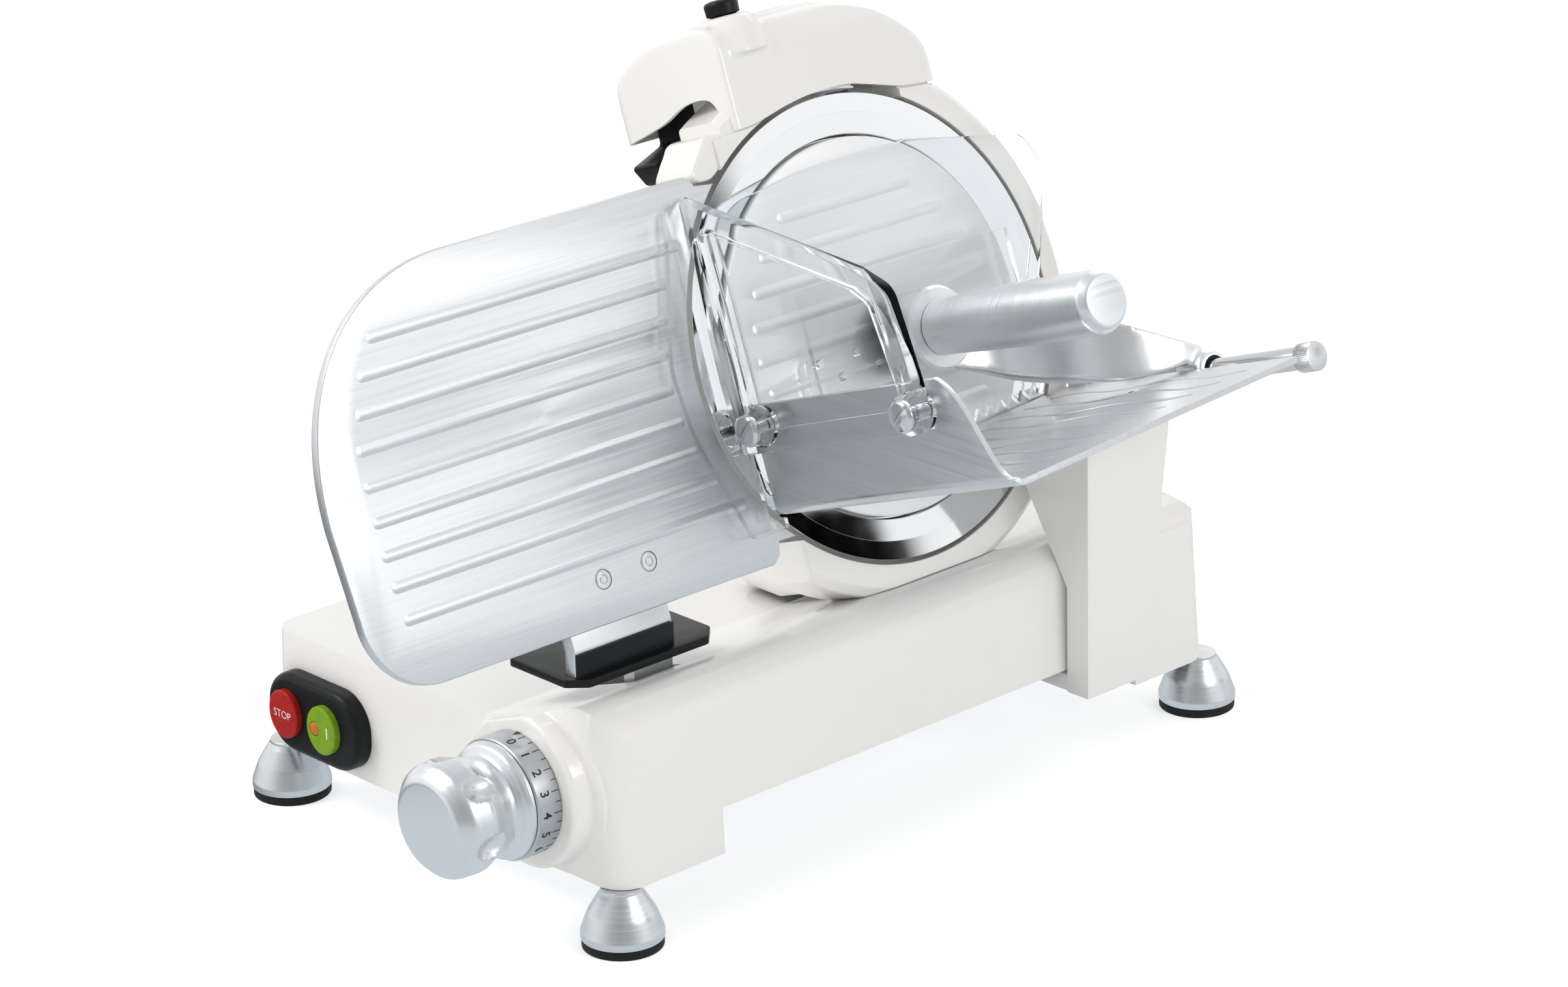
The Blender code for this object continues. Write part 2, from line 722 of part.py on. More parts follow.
def base_casting(root, bar, stuff):
    body = base_shape("base_casting", 0, BASE_BOTTOM, root, stuff)
    boss = tool(lathe([(0, BOSS_FRONT), (BOSS_R - BOSS_EDGE_R, BOSS_FRONT),
                       (BOSS_R, BOSS_FRONT + BOSS_EDGE_R), (BOSS_FOOT_R, BASE_FRONT),
                       (BOSS_FOOT_R, BASE_FRONT + BASE_WALL), (0, BASE_FRONT + BASE_WALL)],
                      "Y", (KNOB_X, KNOB_Z)), root)
    keep(boss, prism(base_outline(0, BASE_BOTTOM), BOSS_FRONT - CUT_OVERRUN,
                     BASE_REAR, "XZ"))
    change(body, boss, "UNION")
    hollow = base_shape("tool", BASE_WALL, BASE_BOTTOM - CUT_OVERRUN, root)
    hollow.hide_render = True
    hollow.display_type = "WIRE"
    for x in (-FOOT_X, FOOT_X):
        for y in (-FOOT_Y, FOOT_Y):
            cut(hollow, rod(FOOT_LUG_R, 0, FOOT_LUG_TOP, "Z", (x, y)))
    for x in POST_X:
        for y in POST_Y:
            cut(hollow, rod(POST_R, COVER_Z + COVER_T + RIM_ROOM, BASE_CEILING, "Z", (x, y)))
    for low, high in ((BASE_FRONT, RAIL_LUG_FRONT), (RAIL_LUG_REAR, BASE_REAR)):
        cut(hollow, block(RAIL_X - RAIL_LUG_HALF, RAIL_X + RAIL_LUG_HALF, low, high,
                          RAIL_Z - RAIL_LUG_HALF, RAIL_Z + RAIL_LUG_HALF))
    for near, far in ((-BAR_LUG_BACK - BAR_LUG_T, -BAR_LUG_BACK),
                      (BAR_LUG_AHEAD, BAR_LUG_AHEAD + BAR_LUG_T)):
        cut(hollow, block(near, far, -BAR_LUG_HALF, BAR_LUG_HALF,
                          BAR_LUG_LOW, BAR_LUG_HIGH), bar)
    change(body, hollow, "DIFFERENCE")
    cut(body, rod(SHAFT_HOLE_R, BOSS_FRONT - CUT_OVERRUN,
                  BASE_FRONT + BASE_WALL + CUT_OVERRUN, "Y", (KNOB_X, KNOB_Z)))
    lip = SWITCH_LIP - BUTTON_ROOM
    cut(body, prism(rectangle(SWITCH_LEFT + lip, SWITCH_RIGHT - lip, SWITCH_LOW + lip,
                              SWITCH_HIGH - lip, SWITCH_CORNER_R - lip),
                    BASE_FRONT - CUT_OVERRUN, BASE_FRONT + BASE_WALL + CUT_OVERRUN, "XZ"))
    cut(body, block(NOTCH_X, BASE_RIGHT + CUT_OVERRUN, NOTCH_FRONT, NOTCH_REAR,
                    BASE_BOTTOM - CUT_OVERRUN, NOTCH_Z))
    cut(body, block(SLOT_LEFT, SLOT_RIGHT, BLADE_Y + BRACKET_WAIST - SLOT_ROOM,
                    BLADE_Y + BRACKET_REAR + SLOT_ROOM, BAR_Z, BASE_CEILING))
    cut(body, rod(WIRE_HOLE_R, BASE_DECK - BASE_WALL - CUT_OVERRUN,
                  BASE_DECK + CUT_OVERRUN, "Z", (WIRE_HOLE_X, WIRE_HOLE_Y)))
    cut(body, rod(GLAND_HOLE_R, BASE_REAR - BASE_DRAFT - BASE_WALL - CUT_OVERRUN,
                  BASE_REAR + CUT_OVERRUN, "Y", (GLAND_X, GLAND_Z)))
    for low, high in ((RAIL_FRONT - RIM_ROOM, RAIL_LUG_FRONT + CUT_OVERRUN),
                      (RAIL_LUG_REAR - CUT_OVERRUN, RAIL_REAR + RIM_ROOM)):
        cut(body, rod(RAIL_R + RIM_ROOM, low, high, "Y", (RAIL_X, RAIL_Z)))
    for low, high in ((BAR_BACK - RIM_ROOM, -BAR_LUG_BACK + CUT_OVERRUN),
                      (BAR_LUG_AHEAD - CUT_OVERRUN, BAR_AHEAD + RIM_ROOM)):
        cut(body, rod(BAR_R + RIM_ROOM, low, high, "X"), bar)
    return body


def feet(root, metal, rubber):
    for side, x in (("left", -FOOT_X), ("right", FOOT_X)):
        for end, y in (("front", -FOOT_Y), ("rear", FOOT_Y)):
            spot = empty("foot_%s_%s_spot" % (end, side), root, (x, y, 0))
            piece("foot_cone_%s_%s" % (end, side), lathe(
                [(0, CONE_BOTTOM), (CONE_BOTTOM_R, CONE_BOTTOM),
                 (CONE_SHOULDER_R, CONE_SHOULDER), (CONE_WAIST_R, CONE_WAIST),
                 (CONE_TOP_R, CONE_TOP), (0, CONE_TOP)], "Z"), spot, metal)
            piece("foot_pad_%s_%s" % (end, side),
                  rod(PAD_R, 0, PAD_H, "Z"), spot, rubber)


def bottom_cover(root, stuff):
    left = BASE_LEFT + COVER_EDGE
    front = BASE_FRONT + COVER_EDGE
    rear = BASE_REAR - COVER_EDGE - BASE_DRAFT
    corner = PAD_R + BASE_DRAFT
    plan = rounded([(left, front, corner), (COVER_RIGHT, front, COVER_EDGE),
                    (COVER_RIGHT, rear, COVER_EDGE), (left, rear, corner)])
    body = piece("bottom_cover", prism(plan, COVER_Z, COVER_Z + COVER_T, "XY"), root, stuff)


def switch_set(root, housing_stuff, red, green, amber):
    outline = rectangle(SWITCH_LEFT, SWITCH_RIGHT, SWITCH_LOW, SWITCH_HIGH, SWITCH_CORNER_R)
    body = piece("switch_housing", prism(outline, SWITCH_FACE, SWITCH_SEAT, "XZ"),
                 root, housing_stuff)
    inner = rectangle(SWITCH_LEFT + SWITCH_LIP, SWITCH_RIGHT - SWITCH_LIP,
                      SWITCH_LOW + SWITCH_LIP, SWITCH_HIGH - SWITCH_LIP,
                      SWITCH_CORNER_R - SWITCH_LIP)
    join(body, prism(inner, SWITCH_SEAT - CUT_OVERRUN, SWITCH_REAR, "XZ"))
    for x in (STOP_X, START_X):
        cut(body, prism(ellipse(x, BUTTON_Z, BUTTON_RX + BUTTON_ROOM, BUTTON_RZ + BUTTON_ROOM),
                        SWITCH_FACE - CUT_OVERRUN, BUTTON_WELL, "XZ"))
        cut(body, rod(BUTTON_STEM_R + BUTTON_ROOM, BUTTON_WELL - CUT_OVERRUN,
                      SWITCH_REAR + CUT_OVERRUN, "Y", (x, BUTTON_Z)))
    for name, x, stuff in (("stop_button", STOP_X, red), ("start_button", START_X, green)):
        spot = empty(name + "_axis", root, (x, BUTTON_FRONT, BUTTON_Z))
        skirt = BUTTON_SKIRT - BUTTON_FRONT
        button = piece(name, prism(ellipse(0, 0, BUTTON_RX, BUTTON_RZ), 0, skirt, "XZ"),
                       spot, stuff)
        join(button, rod(BUTTON_STEM_R, skirt - CUT_OVERRUN, BUTTON_REAR - BUTTON_FRONT,
                         "Y", steps=SMALL_STEPS))
        if name == "start_button":
            cut(button, rod(LAMP_R + RIM_ROOM, -CUT_OVERRUN, LAMP_SEAT + RIM_ROOM,
                            "Y", (-LAMP_OFFSET, 0), SMALL_STEPS))
            piece("pilot_lamp", rod(LAMP_R, -LAMP_PROUD, LAMP_SEAT, "Y",
                                    (-LAMP_OFFSET, 0), SMALL_STEPS), spot, amber)


def thickness_knob(axis, metal, dial_stuff, steel):
    bore = SHAFT_R + RIM_ROOM
    knob = piece("thickness_knob", lathe(
        [(0, 0), (KNOB_FACE_R, 0), (KNOB_R, KNOB_DOME), (KNOB_R, KNOB_GRIP_END),
         (KNOB_NECK_R, KNOB_NECK_START), (KNOB_NECK_R, KNOB_NECK_END),
         (KNOB_FLANGE_R, KNOB_END), (bore, KNOB_END), (bore, KNOB_GRIP_END),
         (0, KNOB_GRIP_END)], "Y"), axis, metal)
    grip = (KNOB_DOME + KNOB_GRIP_END) / 2
    for k in range(6):
        angle = math.radians(60 * k + 15)
        ball = [(KNOB_SCOOP_R * math.sin(math.pi * j / 8),
                 grip - KNOB_SCOOP_R * math.cos(math.pi * j / 8)) for j in range(1, 8)]
        ball = [(0, grip - KNOB_SCOOP_R)] + ball + [(0, grip + KNOB_SCOOP_R)]
        cut(knob, lathe(ball, "Y", (KNOB_SCOOP_REACH * math.cos(angle),
                                    KNOB_SCOOP_REACH * math.sin(angle)), 16))
    piece("dial_ring", lathe(
        [(DIAL_BORE_R, DIAL_START), (DIAL_R - DIAL_BEVEL, DIAL_START),
         (DIAL_R, DIAL_START + DIAL_BEVEL), (DIAL_R, DIAL_END - DIAL_BEVEL),
         (DIAL_R - DIAL_BEVEL, DIAL_END), (DIAL_BORE_R, DIAL_END)], "Y"), axis, dial_stuff)
    shaft = piece("knob_shaft", rod(SHAFT_R, KNOB_GRIP_END + RIM_ROOM,
                                    SHAFT_REAR_Y - KNOB_FACE_Y, "Y", steps=32), axis, steel)
    spiral = []
    for k in range(41):
        share = k / 40
        radius = CAM_MAX_R - CAM_RISE * share
        angle = BLADE_TILT - CAM_TURN * share
        spiral.append((radius * math.cos(angle), radius * math.sin(angle)))
    join(shaft, prism(spiral, CAM_FRONT_Y - KNOB_FACE_Y, CAM_REAR_Y - KNOB_FACE_Y, "XZ"))


def gauge_slide(root, bar, steel, iron):
    piece("gauge_guide_bar", rod(BAR_R, BAR_BACK, BAR_AHEAD, "X", steps=32), bar, steel)
    body = piece("gauge_slide_block", block(SLIDE_BACK, SLIDE_AHEAD, SLIDE_FRONT, SLIDE_REAR,
                                            -SLIDE_HALF, SLIDE_HALF), bar, iron)
    join(body, block(ARM_BACK, ARM_AHEAD, ARM_FRONT, ARM_REAR, ARM_LOW, 0))
    cut(body, rod(BAR_R + RIM_ROOM, SLIDE_BACK - CUT_OVERRUN, SLIDE_AHEAD + CUT_OVERRUN,
                  "X", steps=32))
    leg = leg_span()
    cut(body, block(leg[0] - RIM_ROOM, leg[1] + RIM_ROOM,
                    BLADE_Y + BRACKET_FRONT - RIM_ROOM, BLADE_Y + BRACKET_REAR + RIM_ROOM,
                    LEG_LOW_Z - RIM_ROOM, BASE_CEILING), root)
    dx = KNOB_X - BAR_X
    dz = KNOB_Z - BAR_Z
    n = dx * math.cos(BLADE_TILT) + dz * math.sin(BLADE_TILT) + CAM_MAX_R + PIN_R + PIN_ROOM
    v = dz * math.cos(BLADE_TILT) - dx * math.sin(BLADE_TILT)
    join(body, rod(PIN_R, ARM_REAR - PIN_SEAT, CAM_REAR_Y - BAR_Y, "Y", (n, v), SMALL_STEPS))


def leg_span():
    """World X of the two faces of the bracket's upright leg."""
    outer = BLADE_X + BRACKET_OUTER * math.cos(BLADE_TILT) - BRACKET_BEND * math.sin(BLADE_TILT)
    return outer - BRACKET_T, outer


def gauge_bracket(root, blade, bar, stuff, black):
    sine = math.sin(BLADE_TILT)
    cosine = math.cos(BLADE_TILT)
    bend_z = BLADE_Z + BRACKET_OUTER * sine + BRACKET_BEND * cosine
    drop = bend_z - LEG_LOW_Z
    foot = (BRACKET_OUTER - drop * sine, BRACKET_BEND - drop * cosine)
    heel = (foot[0] - BRACKET_T * cosine, foot[1] + BRACKET_T * sine)
    rise = (BRACKET_OUTER - BRACKET_T - heel[0]) / sine
    side = [(BRACKET_OUTER, BRACKET_HEAD), (BRACKET_OUTER, BRACKET_BEND), foot, heel,
            (BRACKET_OUTER - BRACKET_T, heel[1] + rise * cosine),
            (BRACKET_OUTER - BRACKET_T, BRACKET_HEAD)]
    body = piece("gauge_bracket", prism(side, BRACKET_FRONT, BRACKET_REAR, "XZ"), blade, stuff)
    cut(body, rod(BAR_R + RIM_ROOM, BAR_BACK, BAR_AHEAD, "X", steps=32), bar)
    cut(body, block(-BLADE_R, 2 * BLADE_R, -2 * BLADE_R, BLADE_Y + BRACKET_WAIST,
                    BRACKET_WAIST_LOW, SHROUD_TOP - SHROUD_T - RIM_ROOM), root)
    leg = leg_span()
    plan = [(SHROUD_LEFT, SHROUD_FRONT), (SHROUD_RIGHT - SHROUD_CHAMFER, SHROUD_FRONT),
            (SHROUD_RIGHT, SHROUD_FRONT + SHROUD_CHAMFER),
            (SHROUD_RIGHT, SHROUD_REAR - SHROUD_CHAMFER),
            (SHROUD_RIGHT - SHROUD_CHAMFER, SHROUD_REAR), (SHROUD_LEFT, SHROUD_REAR)]
    shroud = piece("shroud_plate", prism(plan, SHROUD_TOP - SHROUD_T, SHROUD_TOP, "XY"),
                   root, black)
    cut(shroud, block(leg[0] - RIM_ROOM, leg[1] + RIM_ROOM,
                      BLADE_Y + BRACKET_FRONT - RIM_ROOM, BLADE_Y + BRACKET_REAR + RIM_ROOM,
                      SHROUD_TOP - SHROUD_T - CUT_OVERRUN, SHROUD_TOP + CUT_OVERRUN))


def gauge_outline():
    outline = [(FORM_UNIT * u, FORM_UNIT * v) for u, v in GAUGE_LIP_SHARES]
    start = math.atan2(outline[-1][1], outline[-1][0]) + 2 * math.pi
    notch = [(FORM_UNIT * u, FORM_UNIT * v) for u, v in GAUGE_NOTCH_SHARES]
    end = math.atan2(notch[0][1], notch[0][0])
    for k in range(1, 17):
        angle = start + (end - start) * k / 16
        outline.append((GAUGE_ARC_R * math.cos(angle), GAUGE_ARC_R * math.sin(angle)))
    outline += notch[1:]
    for k in range(17):
        angle = math.pi / 2 * (1 + k / 16)
        outline.append((GAUGE_EGG_Y - GAUGE_EGG_RY * abs(math.cos(angle)) ** (2 / 2.2),
                        GAUGE_EGG_Z + GAUGE_EGG_RZ * abs(math.sin(angle)) ** (2 / 2.2)))
    for k in range(11):
        angle = math.pi * (1 + k / 20)
        outline.append((GAUGE_TOE_Y + GAUGE_TOE_R * math.cos(angle),
                        GAUGE_TOE_Z + GAUGE_TOE_R * math.sin(angle)))
    return outline


def gauge_plate(blade, stuff):
    body = piece("gauge_plate", prism(gauge_outline(), GAUGE_INNER, GAUGE_OUTER, "YZ"),
                 blade, stuff)
    half = GAUGE_RIB_W / 2
    for v, start, end in zip(GAUGE_RIB_V_SHARES, GAUGE_RIB_START_SHARES, GAUGE_RIB_END_SHARES):
        middle = FORM_UNIT * v
        join(body, prism(rectangle(FORM_UNIT * start, FORM_UNIT * end, middle - half,
                                   middle + half, half - RIM_ROOM, 1),
                         GAUGE_OUTER - GAUGE_RIB_SINK, GAUGE_OUTER + GAUGE_RIB_PROUD, "YZ"))
    for number, (u, v) in enumerate(zip(GAUGE_RIVET_Y, GAUGE_RIVET_Z), 1):
        cut(body, rod(GAUGE_RIVET_R + RIM_ROOM, GAUGE_INNER - CUT_OVERRUN,
                      GAUGE_OUTER + CUT_OVERRUN, "X", (u, v), 32))
        spot = empty("rivet_spot_%d" % number, blade, (0, u, v))
        piece("gauge_rivet_%d" % number,
              rod(GAUGE_RIVET_R, GAUGE_OUTER - GAUGE_RIVET_T,
                  GAUGE_OUTER + GAUGE_RIVET_PROUD, "X", steps=32), spot, stuff)


def scaled(shares, size):
    return [(size * a, size * b) for a, b in shares]


def blade_parts(blade, steel, cover_stuff, dark, screw_stuff):
    piece("blade", lathe(
        [(BLADE_BORE_R, -BLADE_DISH), (BLADE_DISH_R, -BLADE_DISH),
         (BLADE_STEP_R, -BLADE_STEP_DEEP), (BLADE_BEVEL_R, -BLADE_BEVEL_DEEP), (BLADE_R, 0),
         (BLADE_R, -BLADE_EDGE_T), (BLADE_HEEL_R, -BLADE_HEEL), (BLADE_BACK_R, -BLADE_BACK),
         (BLADE_BORE_R, -BLADE_BACK)], "X", steps=WHEEL_STEPS), blade, steel)
    grooves = []
    count = 6
    for k in range(count):
        middle = PULLEY_FRONT + (PULLEY_REAR - PULLEY_FRONT) * (k + 0.5) / count
        grooves.append((PULLEY_R - (PULLEY_GROOVE if k % 2 else 0), middle))
    piece("blade_pulley", lathe(
        [(BEARING_BORE_R, PULLEY_SPIGOT), (PULLEY_SPIGOT_R, PULLEY_SPIGOT),
         (PULLEY_SPIGOT_R, PULLEY_SEAT), (PULLEY_SEAT_R, PULLEY_SEAT),
         (PULLEY_SEAT_R, PULLEY_FRONT), (PULLEY_R, PULLEY_FRONT)] + grooves +
        [(PULLEY_R, PULLEY_REAR), (PULLEY_RIM_R, PULLEY_REAR), (PULLEY_RIM_R, PULLEY_WEB),
         (PULLEY_HUB_R, PULLEY_WEB), (PULLEY_HUB_R, PULLEY_HUB),
         (BEARING_BORE_R, PULLEY_HUB)], "X"), blade, dark)
    piece("blade_axle", lathe(
        [(AXLE_BORE_R, AXLE_FRONT), (AXLE_R, AXLE_FRONT), (AXLE_R, AXLE_REAR),
         (AXLE_BORE_R, AXLE_REAR)], "X", steps=32), blade, screw_stuff)
    end = BEARING_START - BEARING_W
    low = BEARING_BORE_R + BEARING_RACE
    high = BEARING_R - BEARING_RACE
    piece("axle_bearing", lathe(
        [(BEARING_BORE_R, BEARING_START), (low, BEARING_START),
         (low, BEARING_START - BEARING_GROOVE), (high, BEARING_START - BEARING_GROOVE),
         (high, BEARING_START), (BEARING_R, BEARING_START), (BEARING_R, end), (high, end),
         (high, end + BEARING_GROOVE), (low, end + BEARING_GROOVE), (low, end),
         (BEARING_BORE_R, end)], "X", steps=32), blade, screw_stuff)
    cover = piece("blade_cover", lathe(
        [(0, DISC_FRONT), (DISC_R - DISC_EDGE, DISC_FRONT), (DISC_R, DISC_FRONT - DISC_EDGE),
         (DISC_R, DISC_RIM), (DISC_R - DISC_RIM_T, DISC_RIM),
         (DISC_R - DISC_RIM_T, DISC_FRONT - DISC_T), (DISC_BOSS_R, DISC_FRONT - DISC_T),
         (DISC_BOSS_R, DISC_BOSS), (DISC_THREAD_R, DISC_BOSS),
         (DISC_THREAD_R, TIE_FRONT + RIM_ROOM), (0, TIE_FRONT + RIM_ROOM)],
        "X", steps=WHEEL_STEPS), blade, cover_stuff)
    half = GAUGE_RIB_W / 2
    for k in range(-4, 5):
        middle = DISC_RIB_PITCH * k
        reach = math.sqrt((DISC_R - DISC_RIB_EDGE) ** 2 - middle ** 2)
        join(cover, prism(rectangle(-reach, reach, middle - half, middle + half,
                                    half - RIM_ROOM, 1),
                          DISC_FRONT - DISC_EDGE, DISC_FRONT + DISC_RIB_PROUD, "YZ"))
    piece("tie_rod", lathe(
        [(0, TIE_FRONT), (TIE_R, TIE_FRONT), (TIE_R, TIE_KNOB_FRONT),
         (TIE_KNOB_NECK_R, TIE_KNOB_FRONT), (TIE_KNOB_NECK_R, TIE_KNOB_STEP),
         (TIE_KNOB_R, TIE_KNOB_STEP), (TIE_KNOB_R, TIE_KNOB_REAR + TIE_KNOB_EDGE),
         (TIE_KNOB_R - TIE_KNOB_EDGE, TIE_KNOB_REAR), (0, TIE_KNOB_REAR)], "X", steps=32),
          blade, screw_stuff)


def blade_housing(blade, stuff):
    web = WEB_T - GUARD_DEEP
    body = piece("blade_housing", lathe(
        [(WEB_HOLE_R, web), (GUARD_INNER_R, web), (GUARD_INNER_R, -GUARD_LIP),
         (GUARD_INNER_R + GUARD_CHEEK, 0),
         (GUARD_FACE_R, -GUARD_FACE), (GUARD_CHEEK_R, -GUARD_CHEEK),
         (GUARD_OUTER_R, -GUARD_SIDE), (GUARD_OUTER_R, -GUARD_DEEP),
         (BOSS_BEARING_R, -GUARD_DEEP), (BOSS_BEARING_R, -BOSS_END),
         (BOSS_BORE_R, -BOSS_END), (BOSS_BORE_R, -BOSS_SHOULDER),
         (WEB_HOLE_R, -BOSS_SHOULDER)], "X", steps=WHEEL_STEPS), blade, stuff)
    far = 2 * BLADE_R
    cut(body, block(-far, CUT_OVERRUN, -far, far, -far, GUARD_FLAT))
    cut(body, block(-GUARD_DEEP - CUT_OVERRUN, CUT_OVERRUN, GUARD_GAP_LEFT, GUARD_GAP_RIGHT,
                    GUARD_GAP_LOW, far))
    front = web + RIM_ROOM
    side = tool(prism([(-far, -far), (GUARD_LEFT_LOW, -far), (GUARD_LEFT_LOW, GUARD_LIP),
                       (GUARD_LEFT_HIGH, GUARD_LIP), (GUARD_LEFT_HIGH, far), (-far, far)],
                      -GUARD_DEEP - CUT_OVERRUN, CUT_OVERRUN, "YZ"), blade)
    cut(side, rod(WEB_LEFT_R, -far, front, "X", steps=WHEEL_STEPS))
    change(body, side, "DIFFERENCE")
    join(body, prism(scaled(GUARD_HORN_SHARES, FORM_UNIT), RIM_ROOM - GUARD_DEEP,
                     GUARD_HORN_FRONT, "YZ"))
    join(body, block(LUG_REAR, LUG_FRONT, LUG_LEFT, LUG_RIGHT, LUG_LOW, LUG_HIGH))
    cut(body, rod(MAST_R + RIM_ROOM, MAST_LOW - RIM_ROOM, LUG_HIGH + CUT_OVERRUN, "Z",
                  (MAST_X, MAST_Y), 32))
    cut(body, rod(MOTOR_HOLE_R, -GUARD_DEEP - CUT_OVERRUN, front + CUT_OVERRUN, "X",
                  (0, MOTOR_Z)))
    return body


def belt_outline(room):
    big = PULLEY_R + room
    small = MOTOR_PULLEY_R + room
    lean = math.asin((big - small) / -MOTOR_Z)
    outline = []
    for k in range(33):
        angle = -lean + (math.pi + 2 * lean) * k / 32
        outline.append((big * math.cos(angle), big * math.sin(angle)))
    for k in range(17):
        angle = math.pi + lean + (math.pi - 2 * lean) * k / 16
        outline.append((small * math.cos(angle), MOTOR_Z + small * math.sin(angle)))
    return outline


def drive_parts(root, blade, cream, dark, metal, grey):
    piece("motor_body", lathe(
        [(0, MOTOR_FRONT), (MOTOR_R, MOTOR_FRONT), (MOTOR_R, MOTOR_REAR + MOTOR_EDGE),
         (MOTOR_R - MOTOR_EDGE, MOTOR_REAR), (0, MOTOR_REAR)], "X", (0, MOTOR_Z)),
          blade, grey)
    spot = empty("motor_shaft_axis", blade, (0, 0, MOTOR_Z))
    piece("motor_pulley", lathe(
        [(0, PULLEY_FRONT), (MOTOR_PULLEY_R, PULLEY_FRONT), (MOTOR_PULLEY_R, PULLEY_REAR),
         (MOTOR_SHAFT_R, PULLEY_REAR), (MOTOR_SHAFT_R, MOTOR_SHAFT_END),
         (0, MOTOR_SHAFT_END)], "X", steps=32), spot, metal)
    belt = piece("drive_belt", prism(belt_outline(BELT_ROOM + BELT_T), PULLEY_REAR + BELT_EDGE,
                                     PULLEY_FRONT - BELT_EDGE, "YZ"), blade, dark)
    cut(belt, prism(belt_outline(BELT_ROOM), PULLEY_REAR - CUT_OVERRUN,
                    PULLEY_FRONT + CUT_OVERRUN, "YZ"))
    sine = math.sin(BLADE_TILT)
    cosine = math.cos(BLADE_TILT)
    heel = (BASE_DECK + RIM_ROOM - BLADE_Z - TOWER_REAR * sine) / cosine
    kink = (RAMP_START - BLADE_X + GUARD_FLAT * sine) / cosine
    cover = piece("motor_cover", prism(
        rounded([(TOWER_FRONT, GUARD_FLAT, 0), (TOWER_FRONT, TOWER_TOP, 0),
                 (TOWER_REAR, TOWER_TOP, TOWER_TOP_R), (TOWER_REAR, heel, 0),
                 (kink, GUARD_FLAT, 0)]), -TOWER_HALF, TOWER_HALF, "XZ"), blade, cream)
    far = 2 * BLADE_R
    keep(cover, prism(rounded([(far, -TOWER_HALF, 0), (far, TOWER_HALF, 0),
                               (TOWER_REAR, TOWER_HALF, TOWER_SIDE_R),
                               (TOWER_REAR, -TOWER_HALF, TOWER_SIDE_R)]), -far, far, "XY"))
    inner = tool(prism(rounded([(0, -far, 0), (0, TOWER_TOP - TOWER_WALL, 0),
                                (TOWER_REAR + TOWER_WALL, TOWER_TOP - TOWER_WALL,
                                 TOWER_TOP_R - TOWER_WALL),
                                (TOWER_REAR + TOWER_WALL, -far, 0)]),
                       TOWER_WALL - TOWER_HALF, TOWER_HALF - TOWER_WALL, "XZ"), blade)
    keep(inner, prism(rounded([(far, TOWER_WALL - TOWER_HALF, 0),
                               (far, TOWER_HALF - TOWER_WALL, 0),
                               (TOWER_REAR + TOWER_WALL, TOWER_HALF - TOWER_WALL,
                                TOWER_SIDE_R - TOWER_WALL),
                               (TOWER_REAR + TOWER_WALL, TOWER_WALL - TOWER_HALF,
                                TOWER_SIDE_R - TOWER_WALL)]), -far - far, far, "XY"))
    change(cover, inner, "DIFFERENCE")
    cut(cover, rod(TIE_HOLE_R, TOWER_REAR - CUT_OVERRUN, TOWER_REAR + TOWER_WALL + CUT_OVERRUN,
                   "X", steps=32))
    spot = empty("cord_gland_axis", root, (GLAND_X, 0, GLAND_Z))
    piece("cord_gland", lathe(
        [(GLAND_BORE_R, GLAND_INNER), (GLAND_R, GLAND_INNER), (GLAND_R, GLAND_SEAT),
         (GLAND_NUT_R, GLAND_SEAT), (GLAND_NUT_R, GLAND_NUT), (GLAND_TIP_R, GLAND_TIP),
         (GLAND_BORE_R, GLAND_TIP)], "Y", steps=32), spot, dark)


def hood_outlines(inner):
    lower = scaled(HOOD_LOWER_SHARES, FORM_UNIT)
    upper = scaled(HOOD_UPPER_SHARES, FORM_UNIT)
    end = scaled(HOOD_END_SHARES, FORM_UNIT)
    if not inner:
        return lower + upper, end
    small = HOOD_SHRINK_SHARE
    upper = [(HOOD_CENTRE_Y + small * (u - HOOD_CENTRE_Y), HOOD_LOW + small * (v - HOOD_LOW))
             for u, v in upper]
    deep = HOOD_LOW - HOOD_WALL
    side = [(upper[-1][0], deep), (upper[0][0], deep)] + upper
    end = [(min(max(n, HOOD_REAR + HOOD_WALL), HOOD_FRONT - HOOD_WALL),
            HOOD_LOW + small * (v - HOOD_LOW) - (HOOD_WALL if v <= HOOD_LOW else 0))
           for n, v in end]
    return side, end


def hood_shape(name, blade, inner, stuff=None):
    side, end = hood_outlines(inner)
    wall = HOOD_WALL if inner else 0
    us = [u for u, v in side]
    body = piece(name, prism(side, HOOD_REAR - CUT_OVERRUN, HOOD_FRONT + CUT_OVERRUN, "YZ"),
                 blade, stuff)
    keep(body, prism(end, min(us) - CUT_OVERRUN, max(us) + CUT_OVERRUN, "XZ"))
    front = HOOD_FRONT - wall
    rear = HOOD_REAR + wall
    small = HOOD_FRONT * 2 - wall / 2
    wide = HOOD_SIDE_R - wall
    keep(body, prism(rounded([(front, min(us), small), (front, max(us), wide),
                              (rear, max(us), wide), (rear, min(us), wide)]),
                     HOOD_LOW - HOOD_SIDE_R, HOOD_LOW + BLADE_R, "XY"))
    return body


